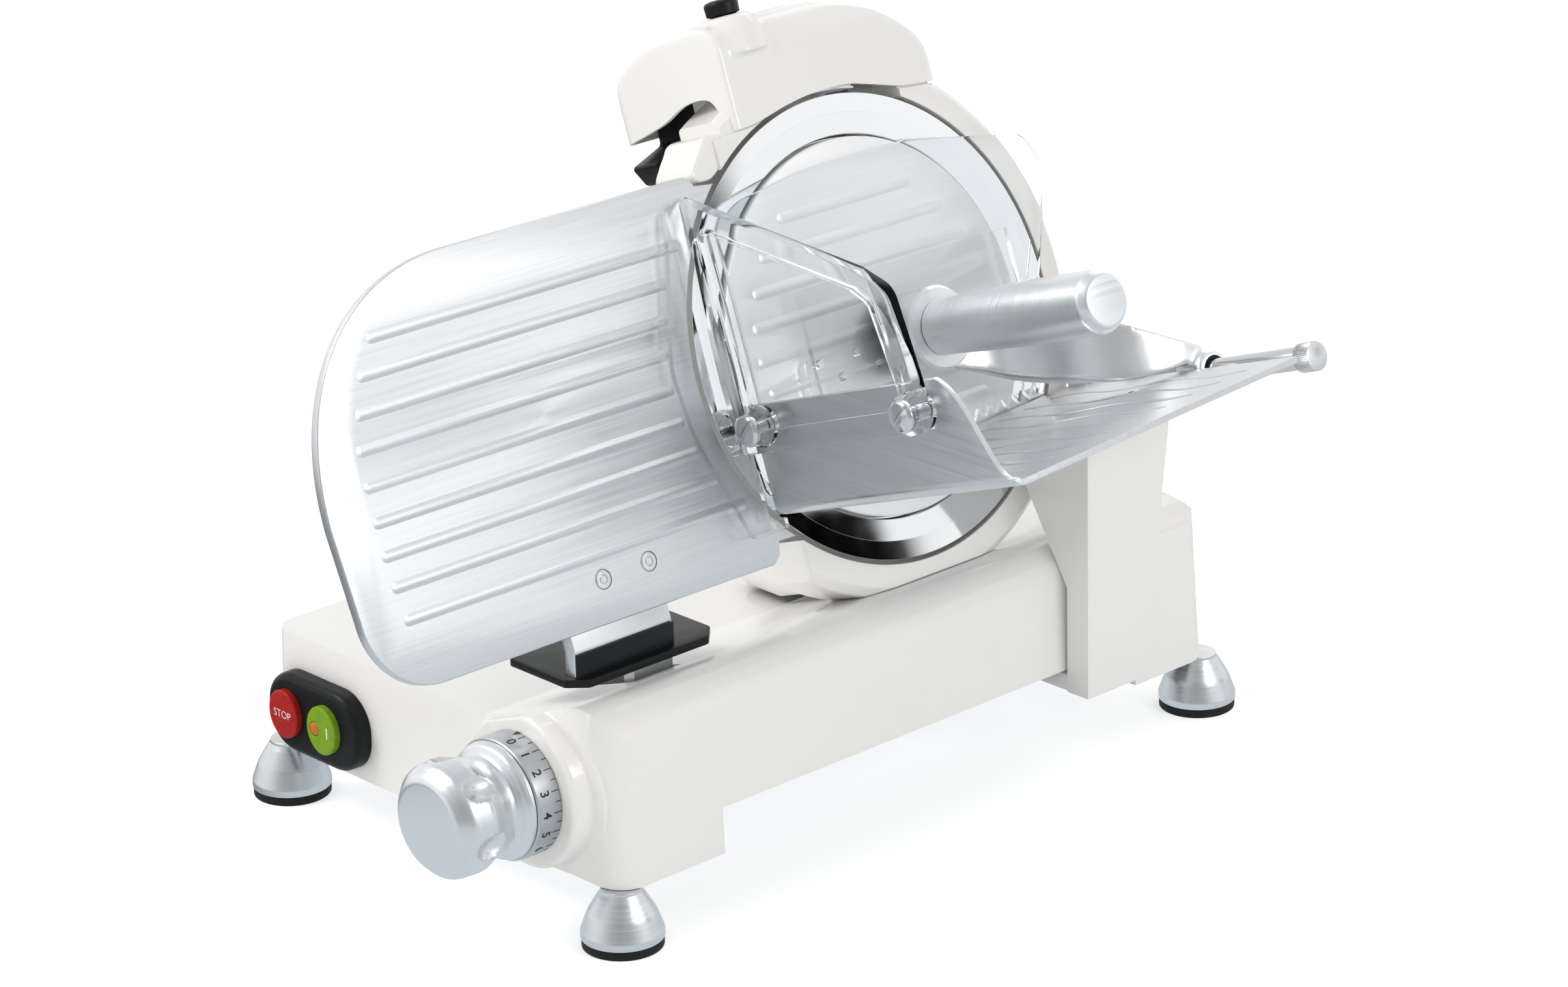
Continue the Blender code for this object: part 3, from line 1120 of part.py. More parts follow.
def sharpener(blade, lift, clamp, cream, dark, metal, stone_stuff):
    hood = hood_shape("sharpener_hood", lift, False, cream)
    inside = hood_shape("tool", lift, True)
    inside.hide_render = True
    inside.display_type = "WIRE"
    change(hood, inside, "DIFFERENCE")
    cut(hood, rod(CLAMP_WELL_R, YOKE_HIGH, CLAMP_TOP, "Z", (CLAMP_X, CLAMP_Y), 32))
    cut(hood, rod(STONE_HOLE_R, HOOD_REAR - CUT_OVERRUN, HOOD_REAR + HOOD_WALL + CUT_OVERRUN,
                  "X", (STONE_Y, STONE_Z), 32))
    piece("sharpener_mast", rod(MAST_R, MAST_LOW, MAST_HIGH, "Z", (MAST_X, MAST_Y), 32),
          blade, metal)
    yoke = piece("sharpener_yoke", block(YOKE_REAR, YOKE_FRONT, YOKE_LEFT, YOKE_RIGHT,
                                         YOKE_LOW, YOKE_HIGH), lift, metal)
    join(yoke, block(MAST_X - YOKE_MAST_HALF, MAST_X + YOKE_MAST_HALF,
                     MAST_Y - YOKE_MAST_HALF, MAST_Y + YOKE_MAST_HALF,
                     YOKE_MAST_LOW, YOKE_HIGH - RIM_ROOM))
    join(yoke, block(YOKE_FRONT - CUT_OVERRUN, YOKE_EAR_FRONT, YOKE_LEFT + RIM_ROOM,
                     YOKE_EAR_RIGHT, YOKE_LOW + RIM_ROOM, YOKE_HIGH - RIM_ROOM))
    join(yoke, block(YOKE_REAR + CUT_OVERRUN, YOKE_FRONT - CUT_OVERRUN,
                     STONE_Y - YOKE_ARM_HALF, STONE_Y + YOKE_ARM_HALF,
                     STONE_Z - YOKE_ARM_DROP, YOKE_HIGH - RIM_ROOM))
    for u in YOKE_STUD_Y:
        join(yoke, rod(YOKE_STUD_R, YOKE_HIGH - CUT_OVERRUN, YOKE_STUD_TOP, "Z",
                       (YOKE_STUD_X, u), SMALL_STEPS))
    cut(yoke, rod(MAST_R + RIM_ROOM, min(YOKE_MAST_LOW, STONE_Z - YOKE_ARM_DROP) - CUT_OVERRUN,
                  MAST_HIGH + RIM_ROOM, "Z", (MAST_X, MAST_Y), 32))
    cut(yoke, rod(CLAMP_STEM_R + RIM_ROOM, YOKE_LOW - CUT_OVERRUN, YOKE_HIGH + CUT_OVERRUN,
                  "Z", (CLAMP_X, CLAMP_Y), SMALL_STEPS))
    cut(yoke, rod(STONE_SPINDLE_R + RIM_ROOM, YOKE_REAR - CUT_OVERRUN,
                  YOKE_FRONT + CUT_OVERRUN, "X", (STONE_Y, STONE_Z), SMALL_STEPS))
    axis = empty("stone_axis", lift, (0, STONE_Y, STONE_Z))
    back = STONE_FRONT - STONE_T
    piece("grinding_stone", rod(STONE_R, back, STONE_FRONT, "X", steps=32), axis, stone_stuff)
    piece("stone_spindle", lathe(
        [(0, back - RIM_ROOM), (STONE_SPINDLE_R, back - RIM_ROOM),
         (STONE_SPINDLE_R, STONE_BUTTON_FRONT), (STONE_BUTTON_R, STONE_BUTTON_FRONT),
         (STONE_BUTTON_R, STONE_BUTTON_REAR), (0, STONE_BUTTON_REAR)], "X", steps=32),
          axis, dark)
    piece("sharpener_gutter", prism(scaled(GUTTER_SHARES, FORM_UNIT), GUTTER_REAR,
                                    GUTTER_FRONT, "YZ"), lift, dark)
    piece("clamp_knob", lathe(
        [(0, CLAMP_STEM_LOW), (CLAMP_STEM_R, CLAMP_STEM_LOW),
         (CLAMP_STEM_R, CLAMP_COLLAR_LOW), (CLAMP_COLLAR_R, CLAMP_COLLAR_LOW),
         (CLAMP_COLLAR_R, CLAMP_COLLAR_HIGH), (CLAMP_R, CLAMP_COLLAR_HIGH),
         (CLAMP_R, CLAMP_TOP - CLAMP_EDGE), (CLAMP_R - CLAMP_EDGE, CLAMP_TOP),
         (0, CLAMP_TOP)], "Z", steps=32), clamp, dark)


def bed_height(u):
    """Height of the tray bed's underside in the blade frame."""
    return TRAY_LOW + (u - TRAY_FRONT) * math.tan(TRAY_RISE)


def carriage(root, blade, cream, steel, iron):
    outline = [(COLUMN_WALL_X, COLUMN_LOW), (COLUMN_RIGHT, COLUMN_LOW),
               (COLUMN_RIGHT, BLADE_Z)] + scaled(COLUMN_LEFT_SHARES, FORM_UNIT)
    rear = COLUMN_FRONT + BLADE_R
    body = piece("carriage_column", prism(outline, COLUMN_FRONT, rear, "XZ"), root, cream)
    side = [(COLUMN_FRONT - CUT_OVERRUN, 0), (COLUMN_REAR, 0),
            (COLUMN_REAR, COLUMN_LOW)] + scaled(COLUMN_REAR_SHARES, FORM_UNIT)
    side.append((COLUMN_FRONT - CUT_OVERRUN, side[-1][1]))
    keep(body, prism(side, 0, BLADE_Z, "YZ"))
    join(body, block(COLUMN_FOOT_LEFT, COLUMN_WALL_X + CUT_OVERRUN, COLUMN_FRONT + RIM_ROOM,
                     COLUMN_REAR - RIM_ROOM, COLUMN_LOW + RIM_ROOM, COLUMN_FOOT_TOP))
    far = 2 * BLADE_R
    cut(body, prism([(-far, bed_height(-far) - RIM_ROOM), (far, bed_height(far) - RIM_ROOM),
                     (far, far), (-far, far)], -far, far, "YZ"), blade)
    cut(body, block(-far, COLUMN_BLADE_ROOM, -far, far, GUARD_FLAT, far), blade)
    for start, width in zip(ROD_LUG_X, ROD_LUG_W):
        join(body, block(start, start + width, ROD_LUG_FRONT, ROD_LUG_REAR,
                         ROD_LUG_LOW, ROD_LUG_HIGH), blade)
    cut(body, rod(ROD_R + RIM_ROOM, -CUT_OVERRUN, HUB_LEFT, "X", (ROD_Y, ROD_Z)), blade)
    for n, y in zip(BED_SCREW_X[1:2], BED_SCREW_Y[1:2]):
        cut(body, rod(BED_SCREW_R + RIM_ROOM, -BED_SCREW_L, CUT_OVERRUN, "Z", (n, y), SMALL_STEPS),
            bed_frame(blade))
    carrier = piece("carriage_slide_block", block(
        CARRIER_LEFT, CARRIER_RIGHT, COLUMN_FRONT, COLUMN_REAR, CARRIER_LOW, CARRIER_HIGH),
                    root, iron)
    cut(carrier, rod(RAIL_R + RIM_ROOM, COLUMN_FRONT - CUT_OVERRUN, COLUMN_REAR + CUT_OVERRUN,
                     "Y", (RAIL_X, RAIL_Z)))
    piece("carriage_guide_rod", rod(RAIL_R, RAIL_FRONT, RAIL_REAR, "Y", (RAIL_X, RAIL_Z), 32),
          root, steel)


def bed_frame(blade):
    return empty("bed_frame", blade, (0, TRAY_FRONT, TRAY_LOW), (TRAY_RISE, 0, 0))


def tray(blade, stuff, steel):
    inner = TRAY_FRONT + TRAY_T
    side = [(TRAY_FRONT, TRAY_LOW), (TRAY_REAR, bed_height(TRAY_REAR)),
            (TRAY_REAR, bed_height(TRAY_REAR) + TRAY_T), (inner, bed_height(inner) + TRAY_T),
            (inner, TRAY_WALL_TOP), (TRAY_FRONT, TRAY_WALL_TOP)]
    body = piece("tray", prism(side, TRAY_LEFT, TRAY_RIGHT, "YZ"), blade, stuff)
    cut(body, prism(scaled(TRAY_CURVE_SHARES, FORM_UNIT), TRAY_FRONT - CUT_OVERRUN,
                    inner + RIM_ROOM, "XZ"))
    cut(body, prism([(0, TRAY_REAR_LEFT), (TRAY_RIGHT + CUT_OVERRUN, TRAY_REAR_RIGHT),
                     (TRAY_RIGHT + CUT_OVERRUN, TRAY_REAR + CUT_OVERRUN),
                     (0, TRAY_REAR + CUT_OVERRUN)], -BLADE_R, 0, "XY"))
    frame = bed_frame(blade)
    for number, (n, y) in enumerate(zip(BED_SCREW_X, BED_SCREW_Y), 1):
        spot = empty("bed_screw_spot_%d" % number, frame, (n, y, 0))
        wide = BED_SCREW_HEAD_R + RIM_ROOM
        slim = BED_SCREW_R + RIM_ROOM
        cut(body, lathe([(0, -CUT_OVERRUN), (slim, -CUT_OVERRUN),
                         (slim, TRAY_T - BED_SCREW_SINK), (wide, TRAY_T),
                         (wide, TRAY_T + CUT_OVERRUN), (0, TRAY_T + CUT_OVERRUN)],
                        "Z", steps=SMALL_STEPS), spot)
        piece("bed_screw_%d" % number, lathe(
            [(0, RIM_ROOM - BED_SCREW_L), (BED_SCREW_R, RIM_ROOM - BED_SCREW_L),
             (BED_SCREW_R, TRAY_T - BED_SCREW_SINK), (BED_SCREW_HEAD_R, TRAY_T),
             (0, TRAY_T)], "Z", steps=SMALL_STEPS), spot, steel)
    for n, v in zip(PANE_BOSS_X, PANE_BOSS_Z):
        cut(body, rod(PANE_HOLE_R, TRAY_FRONT - CUT_OVERRUN, inner + CUT_OVERRUN, "Y",
                      (n, v), 32))


def front_guard(blade, clear, steel):
    flange = scaled(PANE_FLANGE_SHARES, FORM_UNIT)
    body = piece("front_guard", prism(flange, PANE_LEFT, PANE_LEFT + PANE_T, "YZ"),
                 blade, clear)
    sheet = scaled(PANE_SHEET_SHARES, FORM_UNIT)
    join(body, prism(sheet, PANE_FACE, PANE_FACE + PANE_T, "XZ"))
    rim = tool(prism(sheet, PANE_RIM_FRONT, PANE_RIM_REAR, "XZ"), blade)
    cut(rim, prism(scaled(PANE_OPEN_SHARES, FORM_UNIT), PANE_RIM_FRONT - CUT_OVERRUN,
                   PANE_RIM_REAR + CUT_OVERRUN, "XZ"))
    change(body, rim, "UNION")
    for number, (n, v) in enumerate(zip(PANE_BOSS_X, PANE_BOSS_Z), 1):
        join(body, rod(PANE_BOSS_R, PANE_RIM_FRONT, PANE_BOSS_REAR, "Y", (n, v)))
    for number, (n, v) in enumerate(zip(PANE_BOSS_X, PANE_BOSS_Z), 1):
        cut(body, rod(PANE_HOLE_R, PANE_RIM_FRONT - CUT_OVERRUN, PANE_BOSS_REAR + CUT_OVERRUN,
                      "Y", (n, v), 32))
        spot = empty("guard_screw_spot_%d" % number, blade, (n, 0, v))
        screw = piece("guard_screw_%d" % number, lathe(
            [(0, PANE_SCREW_DOME), (PANE_SCREW_HEAD_R / 2, PANE_SCREW_DOME + RIM_ROOM),
             (PANE_SCREW_HEAD_R, PANE_SCREW_EDGE), (PANE_SCREW_HEAD_R, PANE_SCREW_SEAT),
             (PANE_SCREW_R, PANE_SCREW_SEAT), (PANE_SCREW_R, PANE_SCREW_TIP),
             (0, PANE_SCREW_TIP)], "Y", steps=32), spot, steel)
        cut(screw, block(-BLADE_R, BLADE_R, -BLADE_R, PANE_SCREW_DOME + PANE_SLOT_DEEP,
                         -PANE_SLOT_HALF, PANE_SLOT_HALF))


def pusher(blade, hinge, clear, brushed, steel, dark):
    piece("pusher_rod", rod(ROD_R, ROD_LEFT, ROD_RIGHT, "X", (ROD_Y, ROD_Z), 32), blade, steel)
    piece("rod_end_cap", lathe(
        [(0, ROD_CAP_LEFT), (ROD_CAP_R - ROD_CAP_EDGE, ROD_CAP_LEFT),
         (ROD_CAP_R, ROD_CAP_LEFT + ROD_CAP_EDGE), (ROD_CAP_R, ROD_CAP_RIGHT - ROD_CAP_EDGE),
         (ROD_CAP_R - ROD_CAP_EDGE, ROD_CAP_RIGHT), (0, ROD_CAP_RIGHT)], "X",
        (ROD_Y, ROD_Z), 32), blade, steel)
    bore = ROD_R + RIM_ROOM
    piece("pusher_bush", lathe([(bore, BUSH_LEFT), (BUSH_R, BUSH_LEFT), (BUSH_R, BUSH_RIGHT),
                                (bore, BUSH_RIGHT)], "X"), hinge, dark)
    middle = scaled(ARM_PATH_SHARES, FORM_UNIT)
    left, right = [], []
    for k, (n, u) in enumerate(middle):
        before = middle[max(k - 1, 0)]
        after = middle[min(k + 1, len(middle) - 1)]
        way = Vector((after[0] - before[0], after[1] - before[1])).normalized()
        left.append((n - way.y * ARM_HALF, u + way.x * ARM_HALF))
        right.append((n + way.y * ARM_HALF, u - way.x * ARM_HALF))
    ribbon = [(n, u - ROD_Y) for n, u in left + right[::-1]]
    arm = piece("pusher_arm", prism(ribbon, -BLADE_R, BLADE_R, "XY"), hinge, brushed)
    side = [(u - ROD_Y, v - ROD_Z) for u, v in scaled(ARM_SIDE_SHARES, FORM_UNIT)]
    keep(arm, prism(side, 0, ROD_RIGHT, "YZ"))
    join(arm, rod(HUB_R, HUB_LEFT, HUB_RIGHT, "X"))
    at = (GRIP_Y - ROD_Y, GRIP_Z - ROD_Z)
    join(arm, lathe([(0, COLLAR_LEFT), (COLLAR_R, COLLAR_LEFT), (COLLAR_R, COLLAR_LIP),
                     (COLLAR_LIP_R, COLLAR_LIP + COLLAR_EDGE),
                     (COLLAR_LIP_R, COLLAR_RIGHT - COLLAR_EDGE),
                     (COLLAR_LIP_R - COLLAR_EDGE, COLLAR_RIGHT), (0, COLLAR_RIGHT)],
                    "X", at))
    cut(arm, rod(BUSH_R + RIM_ROOM, HUB_LEFT - HUB_R, HUB_RIGHT + HUB_R, "X"))
    profile = [(r, n) for r, n in scaled(GRIP_SHARES, FORM_UNIT)]
    piece("handle", lathe([(0, GRIP_LEFT)] + profile + [(0, GRIP_RIGHT)], "X", at),
          hinge, brushed)
    outline = [(u - ROD_Y, v - ROD_Z) for u, v in scaled(SHIELD_SHARES, FORM_UNIT)]
    piece("hand_shield", prism(outline, SHIELD_LEFT, SHIELD_LEFT + SHIELD_T, "YZ"),
          hinge, clear)
    comb = []
    for k in range(2 * TOOTH_COUNT + 1):
        share = k / (2 * TOOTH_COUNT)
        u = PLATE_REAR + (PLATE_FRONT - PLATE_REAR) * share
        v = PLATE_LOW_REAR + (PLATE_LOW_FRONT - PLATE_LOW_REAR) * share
        comb.append((u, v + (0 if k % 2 else TOOTH_DEEP)))
    outline = [(PLATE_FRONT, PLATE_TOP), (PLATE_REAR, PLATE_TOP)] + comb
    plate = piece("pusher_plate", prism([(u - ROD_Y, v - ROD_Z) for u, v in outline],
                                        PLATE_LEFT, PLATE_LEFT + PLATE_T, "YZ"), hinge, clear)
    for row in range(2):
        for k in range(5):
            u = SPIKE_FIRST_Y + SPIKE_PITCH * (k + row / 2) - ROD_Y
            v = SPIKE_FIRST_Z + SPIKE_ROW * row - ROD_Z
            join(plate, spike(u, v))


def spike(u, v):
    mesh = bmesh.new()
    foot = PLATE_LEFT + SPIKE_SINK
    tip = mesh.verts.new((SPIKE_TIP, u, v))
    corners = [mesh.verts.new((foot, u + a * SPIKE_HALF, v + b * SPIKE_HALF))
               for a, b in ((-1, -1), (1, -1), (1, 1), (-1, 1))]
    mesh.faces.new(corners)
    for k in range(4):
        mesh.faces.new((corners[k], corners[(k + 1) % 4], tip))
    bmesh.ops.recalc_face_normals(mesh, faces=mesh.faces)
    return mesh


def main():
    clear_scene()
    cream = paint("cream_enamel", (0.84, 0.82, 0.77), 0.0, 0.25)
    aluminium = paint("aluminium", (0.72, 0.73, 0.74), 1.0, 0.35)
    brushed = paint("brushed_aluminium", (0.70, 0.71, 0.72), 1.0, 0.30)
    steel = paint("steel", (0.75, 0.75, 0.76), 1.0, 0.15)
    rubber = paint("rubber", (0.02, 0.02, 0.02), 0.0, 0.8)
    black = paint("black_plastic", (0.02, 0.02, 0.02), 0.0, 0.35)
    red = paint("red_plastic", (0.60, 0.03, 0.03), 0.0, 0.3)
    green = paint("green_plastic", (0.20, 0.45, 0.02), 0.0, 0.3)
    amber = paint("amber_lens", (0.80, 0.25, 0.02), 0.0, 0.2, 0.5)
    grey = paint("motor_grey", (0.25, 0.26, 0.27), 0.6, 0.5)
    iron = paint("cast_block", (0.35, 0.35, 0.36), 0.8, 0.5)
    stone = paint("abrasive", (0.45, 0.42, 0.40), 0.0, 0.9)
    clear = paint("clear_plastic", (0.95, 0.97, 0.97), 0.0, 0.05, 1.0)

    root = empty("design_frame")
    blade = empty("blade_frame", root, (BLADE_X, BLADE_Y, BLADE_Z), (0, -BLADE_TILT, 0))
    bar = empty("guide_bar_frame", root, (BAR_X, BAR_Y, BAR_Z), (0, -BLADE_TILT, 0))
    knob = empty("knob_axis", root, (KNOB_X, KNOB_FACE_Y, KNOB_Z))
    lift = empty("sharpener_frame", blade)
    clamp = empty("clamp_axis", lift, (CLAMP_X, CLAMP_Y, 0))
    hinge = empty("pusher_axis", blade, (0, ROD_Y, ROD_Z))

    base_casting(root, bar, cream)
    feet(root, brushed, rubber)
    bottom_cover(root, aluminium)
    switch_set(root, black, red, green, amber)
    thickness_knob(knob, brushed, aluminium, steel)
    gauge_slide(root, bar, steel, iron)
    gauge_bracket(root, blade, bar, aluminium, black)
    gauge_plate(blade, aluminium)
    blade_parts(blade, steel, aluminium, iron, steel)
    blade_housing(blade, cream)
    drive_parts(root, blade, cream, black, steel, grey)
    sharpener(blade, lift, clamp, cream, black, steel, stone)
    carriage(root, blade, cream, steel, iron)
    tray(blade, brushed, steel)
    front_guard(blade, clear, steel)
    pusher(blade, hinge, clear, brushed, steel, black)
    settle(root)


def settle(root):
    """Bring the middle of the whole part's footprint over the origin."""
    bpy.context.view_layer.update()
    graph = bpy.context.evaluated_depsgraph_get()
    low = Vector((math.inf,) * 3)
    high = -low
    for item in bpy.data.objects:
        if item.type != "MESH" or item.hide_render:
            continue
        solid = item.evaluated_get(graph)
        for corner in solid.data.vertices:
            spot = solid.matrix_world @ corner.co
            for k in range(3):
                low[k] = min(low[k], spot[k])
                high[k] = max(high[k], spot[k])
    root.location = (-(low.x + high.x) / 2, -(low.y + high.y) / 2, -low.z)
    print("low", tuple(low), "high", tuple(high), "shift", tuple(root.location))


main()
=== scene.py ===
"""A food slicer with a tilted blade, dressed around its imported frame."""
import math

import bmesh
import bpy
from bpy.props import (FloatProperty, FloatVectorProperty, IntProperty,
                       PointerProperty, StringProperty)
from mathutils import Matrix, Vector


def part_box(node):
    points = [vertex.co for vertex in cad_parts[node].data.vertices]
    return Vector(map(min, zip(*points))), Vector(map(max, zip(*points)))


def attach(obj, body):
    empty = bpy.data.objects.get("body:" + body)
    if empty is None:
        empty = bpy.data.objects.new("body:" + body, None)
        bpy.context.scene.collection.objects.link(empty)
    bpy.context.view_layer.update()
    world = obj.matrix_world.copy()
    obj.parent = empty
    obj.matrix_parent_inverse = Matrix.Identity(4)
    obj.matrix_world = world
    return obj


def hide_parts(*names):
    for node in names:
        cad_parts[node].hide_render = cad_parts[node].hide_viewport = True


bl_info = {
    "name": "Food Slicer",
    "version": (1, 0, 0),
    "blender": (4, 5, 0),
    "location": "3D View > Sidebar > Slicer",
    "description": "Builds a food slicer's enamelled castings, metal, guards and studio",
    "category": "Object",
}

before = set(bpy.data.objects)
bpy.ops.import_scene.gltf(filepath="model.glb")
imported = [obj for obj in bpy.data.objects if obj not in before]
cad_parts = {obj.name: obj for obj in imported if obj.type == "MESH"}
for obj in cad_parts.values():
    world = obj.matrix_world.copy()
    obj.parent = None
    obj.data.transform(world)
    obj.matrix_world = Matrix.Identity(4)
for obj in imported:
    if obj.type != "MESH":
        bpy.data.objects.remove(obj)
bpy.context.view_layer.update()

# Places, in metres. In the slicer's own axes, which start between its feet, X is to the right,
# Y to the rear and Z up. In the blade's frame n runs out of the blade's face, u to the rear and
# v up the blade's tilted plane, in the place of X, Y and Z.

FRONT_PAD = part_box("foot_pad_front_left")
REAR_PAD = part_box("foot_pad_rear_right")
MIDDLE = Matrix.Translation(((FRONT_PAD[0].x + REAR_PAD[1].x) / 2,
                             (FRONT_PAD[0].y + REAR_PAD[1].y) / 2, 0))
TILT = math.radians(19.23)
BLADE_SPOT = Vector((0.07205, 0.0319, 0.25585))
BLADE = MIDDLE @ Matrix.Translation(BLADE_SPOT) @ Matrix.Rotation(-TILT, 4, "Y")

# Gap that keeps two faces apart, overlap of a cut, a reach past the whole slicer, and the angle
# from which an edge is sharp

HAIR, OVER, FAR = 0.0003, 0.002, 0.4
SHARP = math.radians(28)

# Order of the coordinates in a plane or about an axis

X, Y, Z = 0, 1, 2
PLANES = {"XY": (0, 1, 2), "XZ": (0, 2, 1), "YZ": (1, 2, 0)}
AXES = {"X": (1, 2, 0), "Y": (0, 2, 1), "Z": (0, 1, 2)}

# Shapes

def rounded(corners, steps=6):
    """Outline with each (a, b, radius) corner turned into an arc; a bare (a, b) stays sharp."""
    outline = []
    for i, (a, b, *bend) in enumerate(corners):
        here = Vector((a, b))
        radius = sum(bend)
        if radius == 0:
            outline.append((a, b))
            continue
        back = (Vector(corners[i - 1][:2]) - here).normalized()
        ahead = (Vector(corners[(i + 1) % len(corners)][:2]) - here).normalized()
        half = back.angle(ahead) / 2
        reach = radius / math.tan(half)
        centre = here + (back + ahead).normalized() * (radius / math.sin(half))
        first = here + back * reach - centre
        last = here + ahead * reach - centre
        start = math.atan2(first.y, first.x)
        sweep = (math.atan2(last.y, last.x) - start + math.pi) % (2 * math.pi) - math.pi
        for k in range(steps + 1):
            angle = start + sweep * k / steps
            outline.append((centre.x + radius * math.cos(angle),
                            centre.y + radius * math.sin(angle)))
    return outline


def oblong(left, right, low, high, radius, steps=8):
    """Outline of a rectangle with round corners."""
    return rounded([(left, low, radius), (right, low, radius),
                    (right, high, radius), (left, high, radius)], steps)


def oval(at, wide, high, steps=64):
    """Points of an ellipse about a spot."""
    return [(at[0] + wide * math.cos(2 * math.pi * k / steps),
             at[1] + high * math.sin(2 * math.pi * k / steps)) for k in range(steps)]


def flowing(points, closed=True, steps=6):
    """Smooth curve through given points."""
    count = len(points)
    spots = [Vector(p) for p in points]
    curve = []
    for i in range(count if closed else count - 1):
        before, start, end, after = (spots[(i + k) % count] if closed else
                                     spots[min(max(i + k, 0), count - 1)] for k in (-1, 0, 1, 2))
        for k in range(steps):
            t = k / steps
            curve.append(0.5 * ((2 * start) + (end - before) * t
                                + (2 * before - 5 * start + 4 * end - after) * t * t
                                + (3 * start - before - 3 * end + after) * t ** 3))
    if not closed:
        curve.append(spots[-1])
    return [tuple(p) for p in curve]


def spot_in(plane, a, b, along):
    """Spot that is a and b across a plane, and along it."""
    first, second, third = PLANES[plane]
    spot = [0, 0, 0]
    spot[first] = a
    spot[second] = b
    spot[third] = along
    return Vector(spot)


def set_at(spot, angle, axis="Y", base=Matrix()):
    """Place at a spot of another place, turned there about an axis."""
    return base @ Matrix.Translation(spot) @ Matrix.Rotation(angle, 4, axis)


def lowest(part, axis):
    """Least coordinate of an edge's or a face's corners."""
    return min(v.co[axis] for v in part.verts)


def highest(part, axis):
    """Greatest coordinate of an edge's or a face's corners."""
    return max(v.co[axis] for v in part.verts)


def span(part, axis):
    """How far an edge or a face reaches along an axis."""
    return highest(part, axis) - lowest(part, axis)


def tidy(form):
    """The form with its doubles merged and its faces pointing outwards."""
    bmesh.ops.remove_doubles(form, verts=form.verts, dist=1e-6)
    bmesh.ops.recalc_face_normals(form, faces=form.faces)
    return form


def bevelled(form, edges, radius, segments):
    """The form with the given edges rounded."""
    bmesh.ops.bevel(form, geom=edges, offset=radius, offset_type="OFFSET", segments=segments,
                    profile=0.5, affect="EDGES", material=-1, clamp_overlap=True)
    return form


def soften(form, radius, segments=3, pick=None, sharp=SHARP):
    """Round the sharp edges, or those of them that pick chooses."""
    edges = [e for e in form.edges if len(e.link_faces) == 2
             and e.calc_face_angle(0) > sharp and (pick is None or pick(e))]
    return bevelled(form, edges, radius, segments)


def slab(outline, low, high, plane="YZ", edge=0.0, segments=3):
    """Closed plate of an outline, with its rims rounded."""
    form = bmesh.new()
    face = form.faces.new([form.verts.new(spot_in(plane, a, b, low)) for a, b in outline])
    grown = bmesh.ops.extrude_face_region(form, geom=[face], use_keep_orig=True)
    rise = spot_in(plane, 0, 0, high - low)
    fresh = [v for v in grown["geom"] if isinstance(v, bmesh.types.BMVert)]
    bmesh.ops.translate(form, verts=fresh, vec=rise)
    bmesh.ops.recalc_face_normals(form, faces=form.faces)
    if edge:
        along = PLANES[plane][2]
        rims = [e for e in form.edges if span(e, along) < 1e-7]
        bevelled(form, rims, edge, segments)
    return form


def block(x0, x1, y0, y1, z0, z1, edge=0.0, segments=3):
    """Box between two corners, with its edges rounded."""
    form = slab([(x0, y0), (x1, y0), (x1, y1), (x0, y1)], z0, z1, "XY")
    return soften(form, edge, segments) if edge else form


def turned(profile, axis="X", at=(0, 0), steps=96):
    """Body of a (radius, height) profile turned about an axis."""
    form = bmesh.new()
    across, second, along = AXES[axis]
    ring = []
    for radius, height in profile:
        spot = [0, 0, 0]
        spot[across] = at[0] + radius
        spot[second] = at[1]
        spot[along] = height
        ring.append(form.verts.new(spot))
    if profile[0][0] > 0:
        ring.append(ring[0])
    edges = [form.edges.new(pair) for pair in zip(ring, ring[1:])]
    centre = [0, 0, 0]
    centre[across] = at[0]
    centre[second] = at[1]
    spin = [0, 0, 0]
    spin[along] = 1
    bmesh.ops.spin(form, geom=list(set(ring)) + edges, cent=centre, axis=spin,
                   angle=2 * math.pi, steps=steps, use_merge=True)
    return tidy(form)


def rod(radius, low, high, axis="X", at=(0, 0), edge=0.0, steps=48):
    """Round bar along an axis, with its rims rounded."""
    profile = rounded([(0, low, 0), (radius, low, edge), (radius, high, edge), (0, high, 0)], 3)
    return turned(profile, axis, at, steps)


def placed(form, matrix):
    """The form moved and turned by a matrix."""
    bmesh.ops.transform(form, matrix=matrix, verts=form.verts)
    return form


def loose(form, name="form"):
    """Object of a form, at the origin."""
    data = bpy.data.meshes.new(name)
    form.to_mesh(data)
    form.free()
    item = bpy.data.objects.new(name, data)
    bpy.context.scene.collection.objects.link(item)
    return item


def baked(item, tools=()):
    """Form of an object with its modifiers applied. The object and its tools are removed."""
    graph = bpy.context.evaluated_depsgraph_get()
    made = bmesh.new()
    made.from_mesh(item.evaluated_get(graph).to_mesh())
    for used in (item, *tools):
        data = used.data
        bpy.data.objects.remove(used)
        bpy.data.meshes.remove(data)
    return made


def combined(form, others, operation="DIFFERENCE"):
    """The first form with the others cut from it, joined to it or kept in common."""
    body = loose(form)
    tools = [loose(other, "tool") for other in others]
    for tool in tools:
        step = body.modifiers.new("step", "BOOLEAN")
        step.solver = "EXACT"
        step.operation = operation
        step.object = tool
    made = baked(body, tools)
    bmesh.ops.remove_doubles(made, verts=made.verts, dist=1e-6)
    bmesh.ops.dissolve_degenerate(made, edges=made.edges, dist=1e-6)
    return made


def melted(form, voxel, rounds):
    """The form with all its edges softened, as a casting's are."""
    item = loose(form)
    step = item.modifiers.new("cast", "REMESH")
    step.mode = "VOXEL"
    step.voxel_size = voxel
    soft = item.modifiers.new("soft", "SMOOTH")
    soft.factor = 0.5
    soft.iterations = rounds
    return baked(item)


